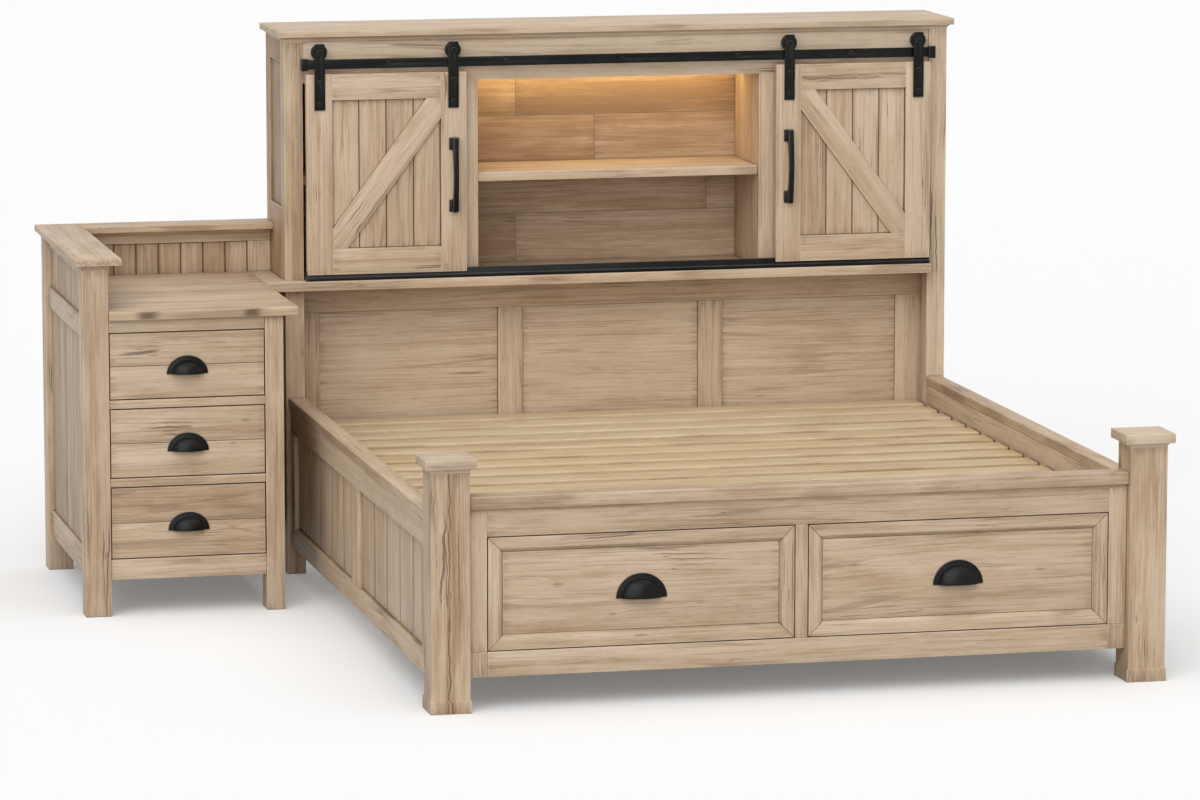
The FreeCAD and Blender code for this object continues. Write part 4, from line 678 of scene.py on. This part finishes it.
# The nodes of square section, whose front is taken as the face of the board.
THROUGH = {name: Vector((0, -1, 0)) for name in ("foot_posts", "head_post_left", "head_post_right",
                                                 "nightstand_legs")}
# How much of a split heart shows in the boards of a node left and right of the middle, in a slanting board,
# and in a board through which a dark heart runs, which is the one that holds the place.
FLAWS = {"foot_posts": (0.9, 0.1), "head_post_left": (0.25, 0.25), "head_post_right": (0.15, 0.15),
         "nightstand_legs": (0.2, 0.2)}
SLANT_FLAW = 0.2
HEARTS = {"door_frame_right": Vector((0.995, 0.838, 1.371))}
HEART_FLAW = 0.75
# How many drying cracks the boards of a node have, and a slanting board.
SPLITS = {"foot_posts": 0.3, "head_post_left": 0.3, "head_post_right": 0.25, "nightstand_legs": 0.2,
          "door_frame_left": 0.1, "door_frame_right": 0.2, "foot_rail_cap": 0.1}
SLANT_SPLIT = 0.3
# How much darker the boards of a node are than the rest, and where negative, how much lighter. This is partly
# each node's own tone and partly painted light and shade: the header, the partitions and the side boards are
# lightened where shade falls on them, the post caps and the crown are lightened as a painted sheen on their
# tops, and the head's sides and the back boards are darkened as painted shade.
TONE_AND_PAINTED_LIGHT = {"head_sides": 0.42, "nightstand_panels": 0.20, "head_back_boards": 0.34, "head_header": -0.28,
        "foot_post_caps": -0.5, "head_post_left": 0.08, "door_frame_left": -0.12, "door_frame_right": -0.10,
        "nightstand_drawer_front_2": 0.06, "nightstand_drawer_front_3": 0.14, "side_panels": -0.10,
        "side_frames": -0.08, "foot_frame": 0.04, "head_partitions": -0.06, "head_crown": -0.15}
# The knots that stand out, at most two to a board: how dark a node's are, and their places in the shared
# frame with their radii.
SPOT_LAYERS = ("spot_a", "spot_b")
SPOTS = {
    "nightstand_top": (0.9, (((-1.104, 0.323, 0.818), 0.0085), ((-0.820, 0.323, 0.820), 0.0065))),
    "nightstand_drawer_front_2": (0.55, (((-0.838, 0.344, 0.523), 0.0050), ((-0.872, 0.344, 0.462), 0.0036))),
    "nightstand_drawer_front_3": (0.45, (((-0.875, 0.344, 0.233), 0.0060),)),
    "foot_drawer_front_left": (0.60, (((-0.301, -1.104, 0.309), 0.0062), ((-0.163, -1.104, 0.228), 0.0045))),
    "foot_drawer_front_right": (0.50, (((0.460, -1.104, 0.327), 0.0065), ((0.949, -1.104, 0.296), 0.0050))),
}
# How far stain has crept in from the edges of the boards, where they lie side by side in a panel.
SEAMS = {"side_panels": 0.0065, "nightstand_panels": 0.0038, "door_planks_left": 0.0026,
         "door_planks_right": 0.0026, "head_back_boards": 0.0022, "nightstand_drawer_front_1": 0.0016,
         "nightstand_drawer_front_2": 0.0016, "nightstand_drawer_front_3": 0.0016}


def solids(name):
    """A node's mesh to work on, without the edges that only divide a flat face."""
    mesh = bmesh.new()
    mesh.from_mesh(nodes[name].data)
    bmesh.ops.remove_doubles(mesh, verts=mesh.verts, dist=MERGE)
    bmesh.ops.dissolve_limit(mesh, angle_limit=FLAT_ANGLE, verts=mesh.verts, edges=mesh.edges)
    return mesh


def finished(mesh, name):
    """The mesh as data for an object, smooth over its eased edges."""
    data = bpy.data.meshes.new(name)
    mesh.to_mesh(data)
    mesh.free()
    data.shade_smooth()
    data.set_sharp_from_angle(angle=SMOOTH_ANGLE)
    return data


def islands(mesh):
    """The separate solids of a mesh, as lists of faces."""
    left = set(mesh.faces)
    found = []
    for start in mesh.faces:
        if start not in left:
            continue
        left.discard(start)
        group, queue = [], [start]
        while queue:
            face = queue.pop()
            group.append(face)
            for edge in face.edges:
                for other in edge.link_faces:
                    if other in left:
                        left.discard(other)
                        queue.append(other)
        found.append(group)
    return found


def sharp_edges(edges, angle):
    return [edge for edge in edges if len(edge.link_faces) == 2 and edge.calc_face_angle(0) > angle]


def longest_way(group):
    """The direction of the longest edge of a solid."""
    edges = {edge for face in group for edge in face.edges}
    best = max(edges, key=lambda edge: round(edge.calc_length(), 5))
    way = (best.verts[1].co - best.verts[0].co).normalized()
    return -way if max(way, key=abs) < 0 else way


def board_axes(name, group, along):
    """The directions along, across and through a board."""
    through = THROUGH.get(name)
    if through is None:
        sides = [face for face in group if abs(face.normal.dot(along)) < SIDE_LEAN]
        flat = max(sides, key=lambda face: face.calc_area())
        through = (flat.normal - along * flat.normal.dot(along)).normalized()
    return along, through.cross(along), through


def grow(points, axes, amount):
    """Moves the ends of a board out along some of its axes."""
    for axis in axes:
        places = [vert.co.dot(axis) for vert in points]
        middle, half = (max(places) + min(places)) / 2, (max(places) - min(places)) / 2
        for vert in points:
            vert.co += axis * (amount * (vert.co.dot(axis) - middle) / half)


def board_marks(name, number, points, axes, low, high):
    """What a board's points have in common: its size, tone, flaws and knots."""
    chance = random.Random(f"{name} {number}")
    own = Vector([chance.random() for _ in range(3)])
    slant = max(axes[0], key=abs) < SLANTING
    on_right = sum(vert.co.x for vert in points) > 0
    flaw = SLANT_FLAW if slant else FLAWS.get(name, (0.0, 0.0))[on_right]
    if name in HEARTS and all(a < HEARTS[name].dot(axis) < b for axis, a, b in zip(axes, low, high)):
        flaw = HEART_FLAW
    extent = Vector([b - a for a, b in zip(low, high)])
    planted = []
    strength, knots = SPOTS.get(name, (0.0, ()))
    for spot, radius in knots:
        inside = Vector([Vector(spot).dot(axis) - a for axis, a in zip(axes, low)])
        if all(-radius < place < length + radius for place, length in zip(inside, extent)):
            planted.append((inside, radius))
    radii = [radius for _, radius in planted] + [0.0] * (len(SPOT_LAYERS) - len(planted))
    marks = {"board": extent, "tone": own, "flaw": flaw, "spot_size": Vector(radii + [strength]),
             "split": SLANT_SPLIT if slant else SPLITS.get(name, 0.0), "seam": SEAMS.get(name, 0.0),
             "lift": TONE_AND_PAINTED_LIGHT.get(name, 0.0)}
    marks.update({key: inside for key, (inside, _) in zip(SPOT_LAYERS, planted)})
    return marks


def timber(name):
    """A copy of a wooden node with eased edges, which knows where each point lies in its own board."""
    mesh = solids(name)
    if name in EXTRA:
        corner, far_corner = EXTRA[name]
        bmesh.ops.create_cube(mesh, size=1.0, matrix=Matrix.LocRotScale(
            (corner + far_corner) / 2, None, far_corner - corner))
    ways = []
    solid = mesh.faces.layers.int.new("solid")
    for number, group in enumerate(islands(mesh)):
        ways.append(GRAIN_OVERRIDE.get(name) or longest_way(group))
        for face in group:
            face[solid] = number
    bmesh.ops.bevel(mesh, geom=sharp_edges(mesh.edges, WOOD_ANGLE), offset=EASED_MOST.get(name, EASED),
                    segments=WOOD_STEPS, profile=WOOD_PROFILE, affect="EDGES", clamp_overlap=True)
    layers = {key: mesh.verts.layers.float_vector.new(key) for key in ("grain", "board", "tone")}
    layers.update({key: mesh.verts.layers.float.new(key) for key in ("flaw", "split", "seam", "lift")})
    layers.update({key: mesh.verts.layers.float_vector.new(key) for key in SPOT_LAYERS + ("spot_size",)})
    for group in islands(mesh):
        number = group[0][solid]
        axes = board_axes(name, group, ways[number])
        points = {vert for face in group for vert in face.verts}
        if name in CLOSED:
            grow(points, axes[:2], CLOSED[name])
        low = [min(vert.co.dot(axis) for vert in points) for axis in axes]
        high = [max(vert.co.dot(axis) for vert in points) for axis in axes]
        marks = board_marks(name, number, points, axes, low, high)
        for vert in points:
            vert[layers["grain"]] = Vector([vert.co.dot(axis) - a for axis, a in zip(axes, low)])
            for key, value in marks.items():
                vert[layers[key]] = value
    return finished(mesh, f"{name}_timber")


def metalwork(name):
    """A copy of a metal node with its edges broken, so that they catch the light."""
    mesh = solids(name)
    rubbed_and_highlit = mesh.faces.layers.float.new("rubbed_and_highlit")
    bolts, others = [], []
    for group in islands(mesh):
        points = [vert.co for face in group for vert in face.verts]
        width = max(max(point[axis] for point in points) - min(point[axis] for point in points)
                    for axis in (0, 2))
        sharp = sharp_edges({edge for face in group for edge in face.edges}, METAL_ANGLE)
        (bolts if width < BOLT_WIDEST else others).extend(sorted(sharp, key=lambda edge: edge.index))
    for sharp, offset, steps in ((others, METAL_EDGE, METAL_STEPS), (bolts, BOLT_DOME, BOLT_STEPS)):
        eased = bmesh.ops.bevel(mesh, geom=sharp, offset=offset, segments=steps, profile=METAL_PROFILE,
                                affect="EDGES", clamp_overlap=True)
        # The eased faces take the enamel's pale edge tone: partly scuffing, partly a painted highlight, and
        # over each domed bolt head.
        for face in eased["faces"]:
            face[rubbed_and_highlit] = 1.0
    return finished(mesh, f"{name}_metalwork")


def dress(name):
    """Gives a node its looks: wood and steel get eased edges in its place, other nodes keep their shape."""
    slot = SLOT_OF[name]
    if slot in WOODS or slot == "black_steel":
        wooden = slot in WOODS
        data = timber(name) if wooden else metalwork(name)
        piece = bpy.data.objects.new(f"{name}_boards" if wooden else f"{name}_steel", data)
        scene.collection.objects.link(piece)
        data.materials.append(materials[slot])
        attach(piece, nodes[name]["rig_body"])
        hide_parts(name)
    else:
        kept = nodes[name]
        for material_slot in kept.material_slots:
            material_slot.material = materials[slot]
        if not kept.material_slots:
            kept.data.materials.append(materials[slot])


for name in sorted(nodes):
    dress(name)


# Floor, light and camera

# The floor's half width, its colour as the camera sees it and as the light that it throws back sees it, and
# its own share of white.
FLOOR_HALF = 40.0
FLOOR_SEEN = (0.97, 0.97, 0.97, 1.0)
FLOOR_BOUNCE = (0.46, 0.46, 0.46, 1.0)
FLOOR_GLOW = 0.15
# The light from all round, and two large lights: where each comes from, its strength and its spread in
# degrees.
AMBIENT = 0.36
KEY_FROM, KEY_STRENGTH, KEY_SPREAD = (-0.36, -0.84, 0.42), 1.62, 60.0
TOP_FROM, TOP_STRENGTH, TOP_SPREAD = (-0.10, -0.25, 1.0), 1.40, 90.0
# The photograph's view: sensor and lens in millimetres, place, and the angles down and to the right.
SENSOR, LENS = 36.0, 171.92
FARTHEST = 200.0
VIEW_FROM = (-3.387, -14.751, 2.879)
VIEW_DOWN, VIEW_RIGHT = 0.1495, 0.2298


def light_floor():
    g = material_graph("studio_floor")
    shown = g.shown()
    diffuse = g.node("ShaderNodeBsdfDiffuse", {"Color": g.mix(shown, FLOOR_BOUNCE, FLOOR_SEEN)})
    white = g.node("ShaderNodeEmission", {"Color": WHITE, "Strength": 1.0})
    return g.blend(g.times(shown, FLOOR_GLOW), diffuse, white, "ShaderNodeOutputMaterial")


def floor():
    mesh = bmesh.new()
    corners = ((-FLOOR_HALF, -FLOOR_HALF), (FLOOR_HALF, -FLOOR_HALF), (FLOOR_HALF, FLOOR_HALF),
               (-FLOOR_HALF, FLOOR_HALF))
    mesh.faces.new([mesh.verts.new((x, y, 0.0)) for x, y in corners])
    data = bpy.data.meshes.new("floor")
    mesh.to_mesh(data)
    mesh.free()
    data.materials.append(light_floor())
    made = bpy.data.objects.new("floor", data)
    scene.collection.objects.link(made)


def studio_world():
    g = Graph(bpy.data.worlds.new("studio"))
    soft = g.node("ShaderNodeBackground", {"Color": WHITE, "Strength": AMBIENT})
    backdrop = g.node("ShaderNodeBackground", {"Strength": 1.0})
    scene.world = g.blend(g.shown(), soft, backdrop, "ShaderNodeOutputWorld")


def sun(name, source, strength, spread):
    """A soft light from far away, which falls evenly on the object and the floor."""
    lamp = bpy.data.lights.new(name, "SUN")
    lamp.energy = strength
    lamp.angle = math.radians(spread)
    made = bpy.data.objects.new(name, lamp)
    made.rotation_euler = Vector(source).to_track_quat("Z", "Y").to_euler()
    scene.collection.objects.link(made)


def camera():
    data = bpy.data.cameras.new("photo_view")
    data.sensor_width = SENSOR
    data.lens = LENS
    data.clip_end = FARTHEST
    made = bpy.data.objects.new("photo_view", data)
    made.location = VIEW_FROM
    made.rotation_euler = (math.pi / 2 - VIEW_DOWN, 0.0, -VIEW_RIGHT)
    scene.collection.objects.link(made)
    scene.camera = made


floor()
studio_world()
sun("key", KEY_FROM, KEY_STRENGTH, KEY_SPREAD)
sun("top", TOP_FROM, TOP_STRENGTH, TOP_SPREAD)
camera()

bpy.context.view_layer.update()
